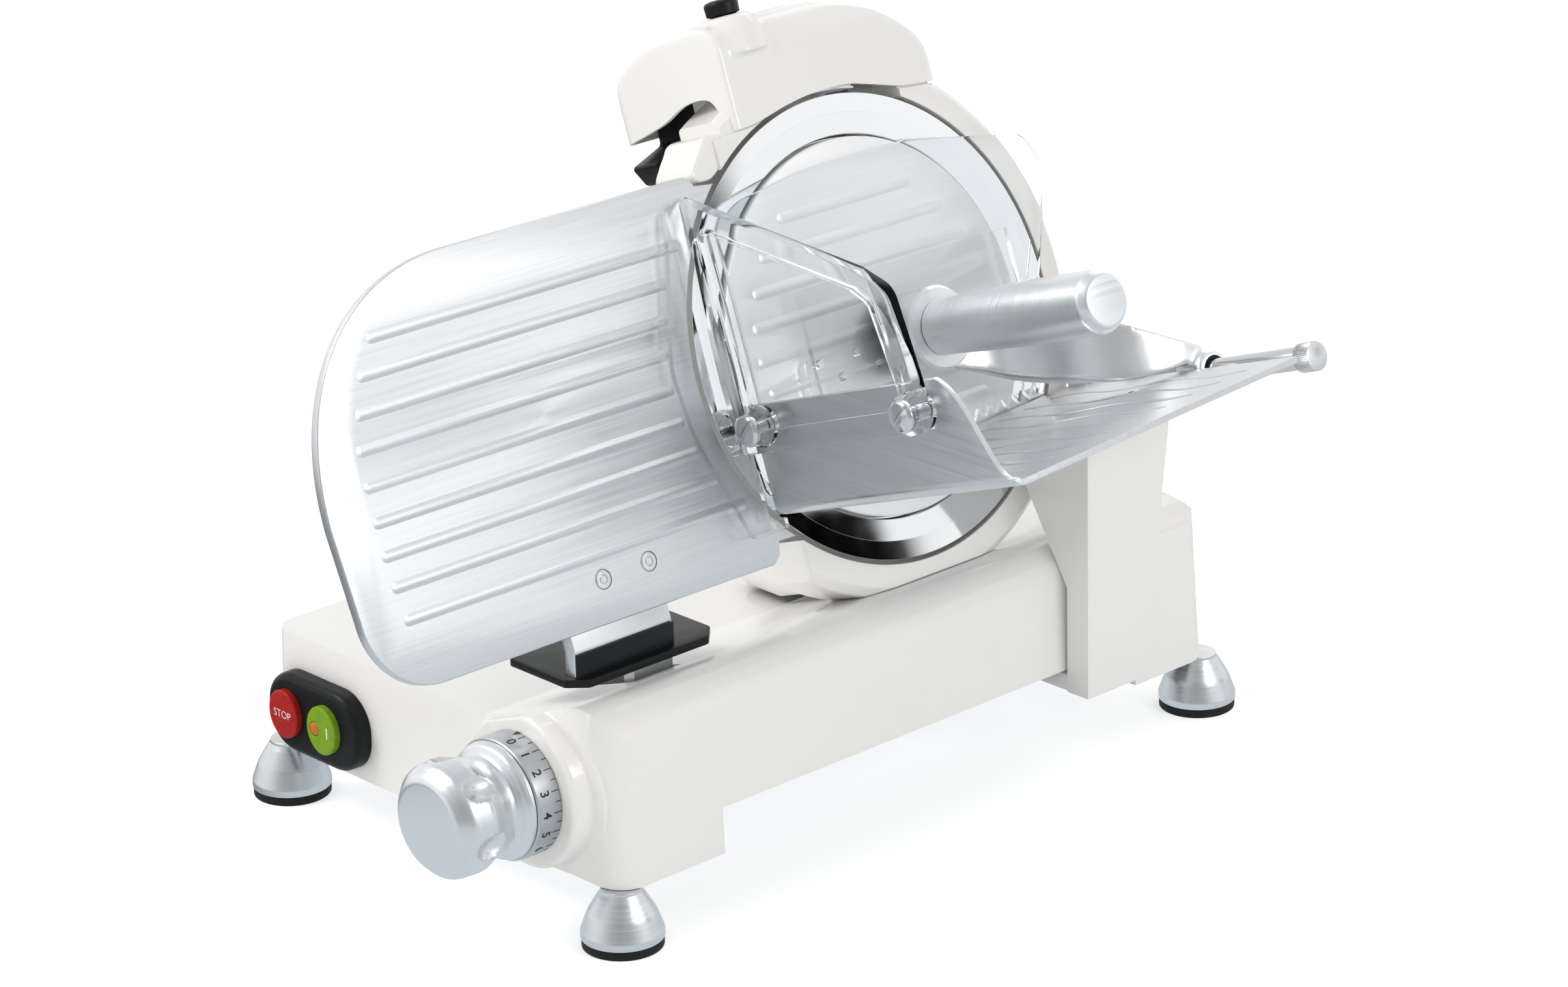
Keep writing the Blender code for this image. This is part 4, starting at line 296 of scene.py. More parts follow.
def crowned(form, axis, level, steps):
    """The form with its flat top above a level raised in (inset, rise) steps."""
    crown = [f for f in form.faces if lowest(f, axis) > level]
    lift = Vector((0, 0, 0))
    for inset, rise in steps:
        lift[axis] = rise
        bmesh.ops.inset_region(form, faces=crown, thickness=inset, depth=0)
        bmesh.ops.translate(form, vec=lift, verts=list({v for f in crown for v in f.verts}))
    return form


def joined(forms):
    """Several closed forms in one mesh, without cutting them."""
    whole = bmesh.new()
    for form in forms:
        data = bpy.data.meshes.new("part")
        form.to_mesh(data)
        form.free()
        whole.from_mesh(data)
        bpy.data.meshes.remove(data)
    return whole


def piece(name, form, place, stuff, body, nodes=(), sharp=SHARP):
    """Finished piece that rides on a body and stands for its nodes."""
    placed(form, place)
    item = loose(form, name)
    item.data.polygons.foreach_set("use_smooth", [True] * len(item.data.polygons))
    item.data.set_sharp_from_angle(angle=sharp)
    item.data.materials.append(stuff)
    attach(item, body)
    if nodes:
        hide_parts(*nodes)
    return item


def words(name, text, size, thick, place, stuff, body, bold=0.0):
    """Raised lettering, made a mesh before it is placed."""
    curve = bpy.data.curves.new(name, "FONT")
    curve.body = text
    curve.size = size
    curve.offset = bold
    curve.extrude = thick
    curve.align_x = "CENTER"
    curve.align_y = "CENTER"
    letter = bpy.data.objects.new(name, curve)
    bpy.context.scene.collection.objects.link(letter)
    graph = bpy.context.evaluated_depsgraph_get()
    form = bmesh.new()
    form.from_mesh(letter.evaluated_get(graph).to_mesh())
    bpy.data.objects.remove(letter)
    bpy.data.curves.remove(curve)
    tidy(form)
    return piece(name, form, place, stuff, body)


# Finishes

STUFF = {}


def wire(tree, start, end):
    """Link from an output to an input."""
    tree.links.new(start, end)


def shaded(colour, share, lift=0.0):
    """The colour brought up or down by a share of itself."""
    return tuple(min(1, c * share + lift) for c in colour)


def node(tree, kind, **values):
    """New node with its sockets or settings given by name."""
    item = tree.nodes.new(kind)
    for key, value in values.items():
        if key in item.inputs:
            item.inputs[key].default_value = value
        else:
            setattr(item, key, value)
    return item


def fed(tree, item, *sources):
    """The node with its first inputs wired, or set where a source is a plain number."""
    for socket, source in zip(item.inputs, sources):
        if isinstance(source, bpy.types.NodeSocket):
            wire(tree, source, socket)
        else:
            socket.default_value = source
    return item


def sum_of(tree, operation, first, second, **values):
    """Result of a sum on two sources."""
    item = node(tree, "ShaderNodeMath", operation=operation, **values)
    return fed(tree, item, first, second).outputs["Value"]


def mixed(tree, share, first, second):
    """Shader that goes from the first to the second by a share."""
    item = node(tree, "ShaderNodeMixShader")
    return fed(tree, item, share, first, second).outputs["Shader"]


def finish_of(name, colour, metallic=0.0, roughness=0.4, **extra):
    """Principled finish with its plain values on the shader's own sockets."""
    stuff = bpy.data.materials.new(name)
    stuff.use_nodes = True
    shader = stuff.node_tree.nodes["Principled BSDF"]
    shader.inputs["Base Color"].default_value = (*colour, 1.0)
    shader.inputs["Metallic"].default_value = metallic
    shader.inputs["Roughness"].default_value = roughness
    for key, value in extra.items():
        shader.inputs[key.replace("_", " ")].default_value = value
    stuff.diffuse_color = (*colour, 1.0)
    return stuff, stuff.node_tree, shader


def pattern(tree, scale, detail, stretch=(1, 1, 1), turn=(0, 0, 0)):
    """Noise on object coordinates, stretched by a mapping."""
    where = node(tree, "ShaderNodeTexCoord")
    mapping = node(tree, "ShaderNodeMapping", Scale=stretch, Rotation=turn)
    noise = node(tree, "ShaderNodeTexNoise", Scale=scale, Detail=detail, Roughness=0.6)
    wire(tree, where.outputs["Object"], mapping.inputs["Vector"])
    wire(tree, mapping.outputs["Vector"], noise.inputs["Vector"])
    return noise.outputs["Fac"]


def spread(tree, source, low, high, start=0.3, end=0.7):
    """Source value brought between two values."""
    remap = node(tree, "ShaderNodeMapRange")
    return fed(tree, remap, source, start, end, low, high).outputs["Result"]


def tint(tree, source, dark, pale, start=0.3, end=0.7):
    """Source value turned into a colour between two."""
    ramp = node(tree, "ShaderNodeValToRGB")
    for stop, place, colour in zip(ramp.color_ramp.elements, (start, end), (dark, pale)):
        stop.position = place
        stop.color = (*colour, 1)
    return fed(tree, ramp, source).outputs["Color"]


def coloured(tree, shader, source, dark, pale):
    """Gives the shader a colour that a pattern shifts from dark to pale."""
    wire(tree, tint(tree, source, dark, pale), shader.inputs["Base Color"])


def worn(tree, shader, source, low, high):
    """Gives the shader a roughness that a pattern shifts from low to high."""
    wire(tree, spread(tree, source, low, high), shader.inputs["Roughness"])


def bumped(tree, shader, source, strength, depth):
    """Gives the shader a relief that a pattern makes."""
    bump = node(tree, "ShaderNodeBump", Strength=strength, Distance=depth)
    wire(tree, source, bump.inputs["Height"])
    wire(tree, bump.outputs["Normal"], shader.inputs["Normal"])


def enamel(name, colour):
    """Glossy baked enamel with a trace of orange peel."""
    stuff, tree, shader = finish_of(name, colour, 0.0, 0.30, Coat_Weight=0.6,
                                    Coat_Roughness=0.06, IOR=1.5)
    cloud = pattern(tree, 9.0, 2.0)
    coloured(tree, shader, cloud, shaded(colour, 0.985), shaded(colour, 1.012))
    worn(tree, shader, cloud, 0.27, 0.34)
    bumped(tree, shader, pattern(tree, 420.0, 1.0), 0.05, 0.0002)
    return stuff


def brushed(name, colour, roughness, stretch, turn=(0, 0, 0), strength=0.10, fine=900.0,
            contrast=0.06, metallic=1.0, streak=0.4):
    """Metal with a grain along one direction."""
    stuff, tree, shader = finish_of(name, colour, metallic, roughness, Anisotropic=streak)
    grain = pattern(tree, fine, 4.0, stretch, turn)
    cloud = pattern(tree, 14.0, 2.0)
    coloured(tree, shader, grain, shaded(colour, 1 - contrast), shaded(colour, 1 + contrast))
    wire(tree, sum_of(tree, "ADD", spread(tree, grain, roughness - 0.06, roughness + 0.06),
                      spread(tree, cloud, -0.02, 0.03)), shader.inputs["Roughness"])
    bumped(tree, shader, grain, strength, 0.0001)
    return stuff


def mirror(name, colour, roughness):
    """Ground and polished metal with faint turning marks."""
    stuff, tree, shader = finish_of(name, colour, 1.0, roughness)
    worn(tree, shader, pattern(tree, 30.0, 2.0), roughness * 0.7, roughness * 1.5)
    bumped(tree, shader, pattern(tree, 1500.0, 2.0, (1, 0.05, 0.05)), 0.02, 0.00005)
    return stuff


def clear(name, colour):
    """Cast clear plastic with soft flow ripples, cooler and darker at grazing views."""
    stuff, tree, shader = finish_of(name, colour, 0.0, 0.02, Transmission_Weight=1.0, IOR=1.16)
    edge = node(tree, "ShaderNodeLayerWeight", Blend=0.5)
    rim = tint(tree, edge.outputs["Facing"], colour, (0.62, 0.70, 0.75), 0.55, 0.95)
    wire(tree, rim, shader.inputs["Base Color"])
    ripple = pattern(tree, 26.0, 1.0)
    worn(tree, shader, ripple, 0.02, 0.04)
    bumped(tree, shader, ripple, 0.04, 0.001)
    return stuff


def moulded(name, colour, roughness, shine=0.5, grain=700.0, strength=0.12):
    """Moulded plastic or rubber with a fine grain."""
    stuff, tree, shader = finish_of(name, colour, 0.0, roughness, Specular_IOR_Level=shine)
    noise = pattern(tree, grain, 2.0)
    coloured(tree, shader, noise, colour, shaded(colour, 1.25, 0.002))
    worn(tree, shader, pattern(tree, 40.0, 2.0), roughness - 0.04, roughness + 0.05)
    bumped(tree, shader, noise, strength, 0.0002)
    return stuff


def print_ink(name, colour):
    """Flat ink of a letter or a scale."""
    stuff, tree, shader = finish_of(name, colour, 0.0, 0.5)
    coloured(tree, shader, pattern(tree, 600.0, 1.0), colour, shaded(colour, 1.05, 0.004))
    return stuff


def stuffs():
    """Every finish on the slicer, made once."""
    if STUFF:
        return STUFF
    look = bpy.context.scene.slicer_looks
    metal = tuple(look.aluminium)
    along_x, along_y = (0.012, 1, 1), (1, 0.012, 1)
    STUFF.update(
        enamel=enamel("baked_enamel", tuple(look.enamel)),
        plate=brushed("brushed_plate", shaded(metal, 0.98), 0.36, along_y),
        tray=brushed("brushed_tray", metal, 0.34, along_x, strength=0.05),
        satin=brushed("satin_aluminium", metal, 0.30, (1, 1, 1), strength=0.05, fine=1400.0,
                      contrast=0.03),
        turned_z=brushed("turned_foot", metal, 0.30, (0.003, 0.003, 1), fine=1600.0,
                         strength=0.16),
        turned_x=brushed("turned_handle", shaded(metal, 1.20), 0.36, (1, 0.004, 0.004),
                         (0, TILT, 0), strength=0.06, fine=1100.0, contrast=0.03),
        turned_y=brushed("turned_knob", shaded(metal, 1.10), 0.27, (0.003, 1, 0.003),
                         fine=1300.0, strength=0.01, contrast=0.02, streak=0.0),
        band=brushed("dial_metal", shaded(metal, 0.80), 0.34, (0.003, 1, 0.003),
                     fine=1300.0, strength=0.02, contrast=0.02),
        bright=brushed("polished_arm", (0.93, 0.94, 0.95), 0.30, (0.3, 0.3, 0.3),
                       strength=0.01, fine=200.0, contrast=0.02),
        blade=mirror("polished_blade", (0.90, 0.91, 0.92), 0.05),
        disc=brushed("cover_disc", (0.97, 0.97, 0.965), 0.36, along_y, strength=0.04,
                     contrast=0.02, metallic=0.5),
        steel=mirror("bright_steel", (0.74, 0.74, 0.75), 0.16),
        rod=mirror("ground_rod", (0.70, 0.71, 0.72), 0.12),
        dull=brushed("machined_steel", (0.45, 0.46, 0.47), 0.42, (0.1, 1, 0.1)),
        dark=moulded("dark_motor", (0.07, 0.075, 0.08), 0.5),
        black=moulded("black_moulding", (0.006, 0.007, 0.008), 0.34, 0.22),
        rubber=moulded("foot_rubber", (0.012, 0.012, 0.012), 0.62, 0.25, 500.0, 0.3),
        red=moulded("stop_red", tuple(look.stop), 0.34, 0.22, 300.0, 0.04),
        green=moulded("start_green", tuple(look.start), 0.34, 0.22, 300.0, 0.04),
        amber=moulded("lamp_amber", (0.55, 0.14, 0.01), 0.18, 0.5, 300.0, 0.04),
        clear=clear("clear_guard", (0.985, 0.99, 0.99)),
        shield=clear("clear_shield", (0.945, 0.958, 0.966)),
        stone=moulded("abrasive_stone", (0.36, 0.33, 0.30), 0.9, 0.2, 1500.0, 0.6),
        white_ink=print_ink("white_letter", (0.85, 0.84, 0.82)),
        black_ink=print_ink("black_numeral", (0.008, 0.008, 0.009)))
    return STUFF


# Settings

class SlicerLooks(bpy.types.PropertyGroup):
    """Colours of the slicer."""
    enamel: FloatVectorProperty(name="Enamel", description="Colour of the cast parts",
                                subtype="COLOR", size=3, default=(0.92, 0.906, 0.868))
    aluminium: FloatVectorProperty(name="Aluminium", description="Colour of the bare metal",
                                   subtype="COLOR", size=3, default=(0.74, 0.76, 0.775))
    stop: FloatVectorProperty(name="Stop button", description="Colour of the stop button",
                              subtype="COLOR", size=3, default=(0.36, 0.010, 0.008))
    start: FloatVectorProperty(name="Start button", description="Colour of the start button",
                               subtype="COLOR", size=3, default=(0.17, 0.32, 0.010))


class SlicerDetails(bpy.types.PropertyGroup):
    """Sizes of the small detail."""
    casting_edge: FloatProperty(name="Casting edge", description="Rounding of the cast edges",
                                unit="LENGTH", default=0.007, min=0.002, max=0.010)
    sheet_edge: FloatProperty(name="Sheet edge", description="Rounding of the plates' rims",
                              unit="LENGTH", default=0.0009, min=0.0002, max=0.0015)
    rib_height: FloatProperty(name="Rib height", description="Height of the gauge plate's ribs",
                              unit="LENGTH", default=0.0006, min=0.0002, max=0.0010)
    wave_rows: IntProperty(name="Tray waves", description="Rows of waves on the tray",
                           default=9, min=3, max=14)
    dial_numbers: IntProperty(name="Dial numbers", description="Highest number on the dial",
                              default=15, min=5, max=15)
    dial_step: FloatProperty(name="Dial step", description="Angle from number to number",
                             subtype="ANGLE", default=math.radians(20))


class SlicerStudio(bpy.types.PropertyGroup):
    """Camera and light."""
    lens: FloatProperty(name="Lens", description="Focal length on a 36 mm sensor, in mm",
                        default=111.41)
    spot: FloatVectorProperty(name="Camera spot", description="Where the camera stands",
                              subtype="TRANSLATION", unit="LENGTH", size=3,
                              default=(1.785318, -1.611982, 1.078741))
    heading: FloatProperty(name="Heading", description="Turn of the view from straight ahead",
                           subtype="ANGLE", default=math.radians(47.4585))
    drop: FloatProperty(name="Drop", description="Angle of the view below the horizon",
                        subtype="ANGLE", default=math.radians(20.5120))
    roll: FloatProperty(name="Roll", description="Turn of the picture",
                        subtype="ANGLE", default=math.radians(-1.4413))
    floor: FloatVectorProperty(name="Floor", description="Colour of the floor",
                               subtype="COLOR", size=3, default=(0.86, 0.86, 0.86))
    sky: FloatProperty(name="Sky", description="Strength of the light all round",
                       default=0.88, min=0)
    key: FloatProperty(name="Key lamp", description="Power of the large soft lamp, in watts",
                       default=17, min=0)
    name_of_view: StringProperty(name="View", description="Name of the camera",
                                 default="photo_view")


# Base

BASE_LEFT, BASE_RIGHT = -0.1381, 0.1469
BASE_FRONT, BASE_REAR = -0.2245, 0.2192
BASE_LOW, BASE_DECK = 0.0326, 0.1018
BASE_ROOF, RAMP_AT = 0.1375, 0.045
BASE_CORNERS = (0.012, 0.017, 0.020, 0.014)
DRAFT, WALL = 0.004, 0.0045
FOOT_X, FOOT_Y = 0.1373, 0.2158
KNOB_AT = (0.088, 0.077)
RAIL_AT = (0.125, 0.0655)
GLAND_AT = (-0.100, 0.060)


def base_side(inset, low):
    """Outline of the base seen from the front."""
    right = BASE_RIGHT - inset
    deck = BASE_DECK - inset
    crest = deck + (right - DRAFT - RAMP_AT) * math.tan(TILT)
    return rounded([(BASE_LEFT + inset, low), (right, low), (right - DRAFT, crest, 0.022 - inset),
                    (RAMP_AT, deck, 0.012), (BASE_LEFT + DRAFT + inset, deck)], 8)


def base_body(inset, low, roof_round):
    """Body of the base with its drafted walls, or the hollow inside them."""
    form = slab(base_side(inset, low), BASE_FRONT + inset - OVER, BASE_REAR - inset + OVER, "XZ")
    left, right = BASE_LEFT + inset, BASE_RIGHT - inset
    front, rear = BASE_FRONT + inset, BASE_REAR - inset
    roof = BASE_ROOF - inset
    side = rounded([(front - 2 * OVER, low - OVER, 0), (rear, low - OVER, 0),
                    (rear - DRAFT, roof, roof_round), (front - 2 * OVER, roof, 0)], 14)
    form = combined(form, [slab(side, left - OVER, right + OVER, "YZ")], "INTERSECT")
    spots = ((left, front), (right, front), (right, rear), (left, rear))
    corners = [(*spot, bend - inset) for spot, bend in zip(spots, BASE_CORNERS)]
    plan = slab(rounded(corners, 12), low - OVER, 0.16, "XY")
    deck = BASE_DECK - inset
    crest = deck + (right - DRAFT - RAMP_AT) * math.tan(TILT)
    for v in plan.verts:
        rise = v.co.z - low
        if v.co.x > 0:
            v.co.x -= DRAFT * rise / (crest - low)
        else:
            v.co.x += DRAFT * rise / (deck - low)
        if v.co.y > 0:
            v.co.y -= DRAFT * rise / (roof - low)
    return combined(form, [plan], "INTERSECT")


class OBJECT_OT_slicer_base(bpy.types.Operator):
    """Base casting with its knob boss, feet, rubber pads and cord gland"""
    bl_idname = "object.slicer_base"
    bl_label = "Base"

    def execute(self, context):
        stuff = stuffs()
        edge = context.scene.slicer_details.casting_edge
        form = base_body(0, BASE_LOW, 0.040)
        soften(form, edge, 5, lambda e: highest(e, Z) > BASE_LOW + 0.01
               and lowest(e, Z) > BASE_LOW + 1e-4)
        boss = turned(rounded([(0, -0.238), (0.042, -0.238, 0.0035), (0.0425, -0.2262, 0.003),
                               (0.0490, -0.2246), (0.049, -0.220), (0, -0.220)], 5), "Y", KNOB_AT)
        boss = combined(boss, [slab(base_side(0.0006, BASE_LOW), -0.26, -0.2, "XZ")], "INTERSECT")
        soften(boss, 0.002, 3, lambda e: highest(e, Y) < -0.2235, math.radians(50))
        form = combined(form, [boss], "UNION")
        form = combined(form, self.openings())
        piece("base_enamel", form, MIDDLE, stuff["enamel"], "base", ["base_casting"])
        for end, y in (("front", -FOOT_Y), ("rear", FOOT_Y)):
            for side, x in (("left", -FOOT_X), ("right", FOOT_X)):
                self.foot(end + "_" + side, x, y, stuff)
        gland = turned(rounded([(0.004, 0.205), (0.008, 0.205), (0.008, 0.2192),
                                (0.0125, 0.2192, 0.0006), (0.0125, 0.2255, 0.001),
                                (0.0085, 0.2262, 0.0004), (0.0062, 0.2335, 0.0008),
                                (0.004, 0.2335)], 3), "Y", GLAND_AT)
        piece("cord_entry", gland, MIDDLE, stuff["black"], "base", ["cord_gland"])
        return {"FINISHED"}

    def openings(self):
        """Hollow of the base round its lugs, and the holes through its walls."""
        lugs = [rod(0.0115, 0, 0.052, "Z", (x, y)) for x in (-FOOT_X, FOOT_X)
                for y in (-FOOT_Y, FOOT_Y)]
        lugs += [block(0.1135, 0.1365, a, b, 0.054, 0.077) for a, b in
                 ((-0.26, -0.202), (0.197, 0.26))]
        hollow = combined(base_body(WALL, BASE_LOW - OVER, 0.0355), lugs)
        knob_bore = rod(0.0054, -0.26, -0.218, "Y", KNOB_AT)
        switch_well = slab(oblong(-0.1244, -0.0576, 0.0431, 0.0769, 0.0149), -0.23, -0.216, "XZ")
        carriage_slot = block(0.1385, 0.16, -0.1528, 0.155, 0.02, 0.0579)
        bracket_slot = block(0.0775, 0.1055, -0.1760, -0.1421, 0.101, 0.15)
        lead_hole = rod(0.006, 0.09, 0.11, "Z", (0.005, 0.030))
        cord_hole = rod(0.0085, 0.20, 0.23, "Y", GLAND_AT)
        rail_ends = [rod(0.0063, -0.2143, -0.2, "Y", RAIL_AT),
                     rod(0.0063, 0.195, 0.2093, "Y", RAIL_AT)]
        return [hollow, knob_bore, switch_well, carriage_slot, bracket_slot, lead_hole,
                cord_hole] + rail_ends

    def foot(self, where, x, y, stuff):
        """One turned foot cone with its rubber pad."""
        bell = rounded([(0, 0.005), (0.02175, 0.005, 0.0006), (0.02175, 0.0088, 0.0035),
                        (0.0180, 0.0190, 0.020), (0.0125, 0.0282, 0.004), (0.0108, 0.0306, 0.001),
                        (0.0106, 0.0323, 0.0004), (0, 0.0323)], 5)
        piece("foot_bell_" + where, turned(bell, "Z", (x, y), 96), MIDDLE,
              stuff["turned_z"], "base", ["foot_cone_" + where])
        piece("foot_rubber_" + where, rod(0.0213, 0, 0.0047, "Z", (x, y), 0.0007, 96), MIDDLE,
              stuff["rubber"], "base", ["foot_pad_" + where])


# Switches and thickness knob

BUTTONS = {"stop": (-0.1115, 0.060), "start": (-0.0785, 0.060)}
LAMP_ASIDE = 0.0052


class OBJECT_OT_slicer_switches(bpy.types.Operator):
    """Switch housing with its two buttons, lamp and lettering"""
    bl_idname = "object.slicer_switches"
    bl_label = "Switches"

    def execute(self, context):
        stuff = stuffs()
        front, back, plug_end = -0.2348, -0.2248, -0.206
        hold = slab(oblong(-0.130, -0.052, 0.0375, 0.0825, 0.0205, 12), front, back, "XZ")
        soften(hold, 0.0042, 6, lambda e: highest(e, Y) < front + 0.0008)
        plug = slab(oblong(-0.124, -0.058, 0.0435, 0.0765, 0.0145), back - OVER, plug_end, "XZ")
        hold = combined(hold, [plug], "UNION")
        wells = []
        for at in BUTTONS.values():
            wells += [slab(oval(at, 0.0126, 0.0142), -0.24, -0.2205, "XZ"),
                      rod(0.0044, -0.2225, -0.2, "Y", at)]
        hold = combined(hold, wells)
        piece("switch_shell", hold, MIDDLE, stuff["black"], "base", ["switch_housing"])
        self.button("stop", stuff["red"], stuff)
        self.button("start", stuff["green"], stuff)
        x, z = BUTTONS["stop"]
        upright = set_at((x, -0.23855, z), math.pi / 2, "X", MIDDLE)
        words("stop_word", "STOP", 0.0062, 0.0001, upright, stuff["white_ink"], "stop", -0.00008)
        bar = block(-0.0735, -0.0725, -0.23865, -0.2384, 0.0568, 0.0632, 0.0001, 1)
        piece("start_mark", bar, MIDDLE, stuff["white_ink"], "start")
        return {"FINISHED"}

    def button(self, name, finish, stuff):
        """One button; the start button also holds the pilot lamp."""
        at = BUTTONS[name]
        front, back = -0.2385, -0.2255
        cap = slab(oval(at, 0.0122, 0.0138), front, back, "XZ")
        soften(cap, 0.0011, 4, lambda e: highest(e, Y) < front + 0.0005)
        cap = combined(cap, [rod(0.004, back - OVER, -0.211, "Y", at)], "UNION")
        if name == "start":
            lamp = (at[0] - LAMP_ASIDE, at[1])
            cap = combined(cap, [rod(0.0041, -0.2405, -0.2362, "Y", lamp)])
            lens = turned([(0, -0.2392), (0.0020, -0.2391), (0.0033, -0.2387),
                           (0.0038, -0.2382), (0.0038, -0.2365), (0, -0.2365)], "Y", lamp, 40)
            piece("lamp_lens", lens, MIDDLE, stuff["amber"], name, ["pilot_lamp"])
        piece(name + "_cap", cap, MIDDLE, finish, name, [name + "_button"])


KNOB_BACK = -0.2995
SCOOPS = 6
SCOOP_OUT, SCOOP_WIDE = 0.0345, 0.0085
SCOOP_AT, SCOOP_LONG = 0.0200, 0.0135
DIAL_ROUND, DIAL_EDGE = 0.03265, -0.2389
DIAL_FIRST = math.radians(79)


class OBJECT_OT_slicer_knob(bpy.types.Operator):
    """Thickness knob with finger scoops, and its numbered dial ring"""
    bl_idname = "object.slicer_knob"
    bl_label = "Thickness knob"

    def execute(self, context):
        stuff = stuffs()
        detail = context.scene.slicer_details
        profile = rounded([(0, 0, 0), (0.0238, 0, 0.006), (0.0305, 0.0070, 0.008),
                           (0.0312, 0.0200, 0.010), (0.0252, 0.0350, 0.005),
                           (0.0258, 0.0385, 0.003), (0.0302, 0.0410, 0.003),
                           (0.0314, 0.0440, 0.0010), (0.0314, 0.0455, 0), (0.0053, 0.0455, 0),
                           (0.0053, 0.0240, 0), (0, 0.0240, 0)], 6)
        piece("knob_grip", self.scooped(profile), MIDDLE, stuff["turned_y"], "knob",
              ["thickness_knob"])
        ring = rounded([(0.0063, 0.0458, 0), (0.0322, 0.0458, 0.0005), (0.0327, 0.0466, 0.0006),
                        (0.0327, 0.0610, 0.0008), (0.0063, 0.0610, 0)], 3)
        ring = turned([(r, KNOB_BACK + h) for r, h in ring], "Y", KNOB_AT, 144)
        piece("dial_band", ring, MIDDLE, stuff["band"], "knob", ["dial_ring"])
        self.scale_marks(detail, stuff["black_ink"])
        tip = slab([(-0.2387, -0.0016), (-0.2387, 0.0016), (-0.2428, 0)], DIAL_ROUND, 0.03285)
        piece("dial_pointer", tip, self.round_dial(math.radians(88), MIDDLE),
              stuff["black_ink"], "knob")
        return {"FINISHED"}

    def round_dial(self, angle, base=Matrix()):
        """Place about the knob's axis, turned by an angle."""
        return set_at((KNOB_AT[0], 0, KNOB_AT[1]), -angle, "Y", base)

    def scooped(self, profile):
        """Turned body whose side is worn in by ellipsoid finger scoops."""
        fine = []
        for (r0, h0), (r1, h1) in zip(profile, profile[1:]):
            count = max(1, round(math.hypot(r1 - r0, h1 - h0) / 0.0008)) if r0 > 0.02 else 1
            fine += [(r0 + (r1 - r0) * k / count, h0 + (h1 - h0) * k / count)
                     for k in range(count)]
        fine.append(profile[-1])
        form = turned([(r, KNOB_BACK + h) for r, h in fine], "Y", KNOB_AT, 216)
        for v in form.verts:
            x, z = v.co.x - KNOB_AT[0], v.co.z - KNOB_AT[1]
            away = math.hypot(x, z)
            if away < 0.02:
                continue
            turn = (math.atan2(z, x) - math.radians(45)) % (2 * math.pi / SCOOPS)
            turn = min(turn, 2 * math.pi / SCOOPS - turn)
            a = (math.cos(turn) / SCOOP_WIDE) ** 2 + (math.sin(turn) / SCOOP_WIDE) ** 2
            b = SCOOP_OUT * math.cos(turn) / SCOOP_WIDE ** 2
            c = ((SCOOP_OUT / SCOOP_WIDE) ** 2
                 + ((v.co.y - KNOB_BACK - SCOOP_AT) / SCOOP_LONG) ** 2 - 1)
            root = b * b - a * c
            near = (b - math.sqrt(root)) / a if root > 0 else away
            if near < away:
                v.co.x = KNOB_AT[0] + x * near / away
                v.co.z = KNOB_AT[1] + z * near / away
        return form

    def scale_marks(self, detail, ink):
        """Ticks at every half number round the dial, and the numbers."""
        ticks = []
        for k in range(2 * detail.dial_numbers + 1):
            reach = 0.0046 if k % 2 == 0 else 0.0028
            mark = block(DIAL_ROUND, 0.03282, DIAL_EDGE - reach, DIAL_EDGE, -0.00022, 0.00022)
            ticks.append(placed(mark, self.round_dial(DIAL_FIRST - detail.dial_step * k / 2)))
        piece("dial_ticks", joined(ticks), MIDDLE, ink, "knob")
        for k in range(detail.dial_numbers + 1):
            place = set_at((0.03268, -0.2482, 0), math.pi / 2, "Y",
                           self.round_dial(DIAL_FIRST - detail.dial_step * k, MIDDLE))
            words("dial_number_%d" % k, str(k), 0.0076, 0.0001, place, ink, "knob", 0.00008)


# Gauge plate

GAUGE_LIP = [(-0.107, -0.103), (-0.102, -0.099), (-0.100, -0.092), (-0.088, -0.0922)]
GAUGE_NOTCH = [(-0.081, 0.094), (-0.096, 0.098), (-0.099, 0.102), (-0.102, 0.104)]
RIB_HEIGHTS = [0.071, 0.054, 0.036, 0.019, 0.001, -0.017, -0.034, -0.050, -0.067]
RIB_STARTS = [-0.322, -0.333, -0.340, -0.345, -0.346, -0.346, -0.346, -0.345, -0.343]
RIB_ENDS = [-0.116, -0.129, -0.136, -0.141, -0.143, -0.142, -0.137, -0.128, -0.116]
RIVETS = [(-0.218, -0.080), (-0.187, -0.079)]
RIB_ROUND = 0.0005
GAUGE_HOLLOW = 0.1275
EGG_AT, EGG_SIZE, EGG_POWER = (-0.260, -0.014), (0.111, 0.118), 2 / 2.2
HEEL_AT, HEEL_ROUND = (-0.328, -0.062), 0.040


def gauge_edge():
    """Outline of the gauge plate: hollow towards the blade, egg-shaped away from it."""
    outline = list(GAUGE_LIP)
    steps = 48
    start = math.atan2(outline[-1][1], outline[-1][0]) + 2 * math.pi
    end = math.atan2(GAUGE_NOTCH[0][1], GAUGE_NOTCH[0][0])
    for k in range(1, steps + 1):
        angle = start + (end - start) * k / steps
        outline.append((GAUGE_HOLLOW * math.cos(angle), GAUGE_HOLLOW * math.sin(angle)))
    outline += GAUGE_NOTCH[1:]
    for k in range(steps + 1):
        angle = math.pi / 2 * (1 + k / steps)
        outline.append((EGG_AT[0] - EGG_SIZE[0] * abs(math.cos(angle)) ** EGG_POWER,
                        EGG_AT[1] + EGG_SIZE[1] * abs(math.sin(angle)) ** EGG_POWER))
    for k in range(steps // 2 + 1):
        angle = math.pi * (1 + k / steps)
        outline.append((HEEL_AT[0] + HEEL_ROUND * math.cos(angle),
                        HEEL_AT[1] + HEEL_ROUND * math.sin(angle)))
    return outline


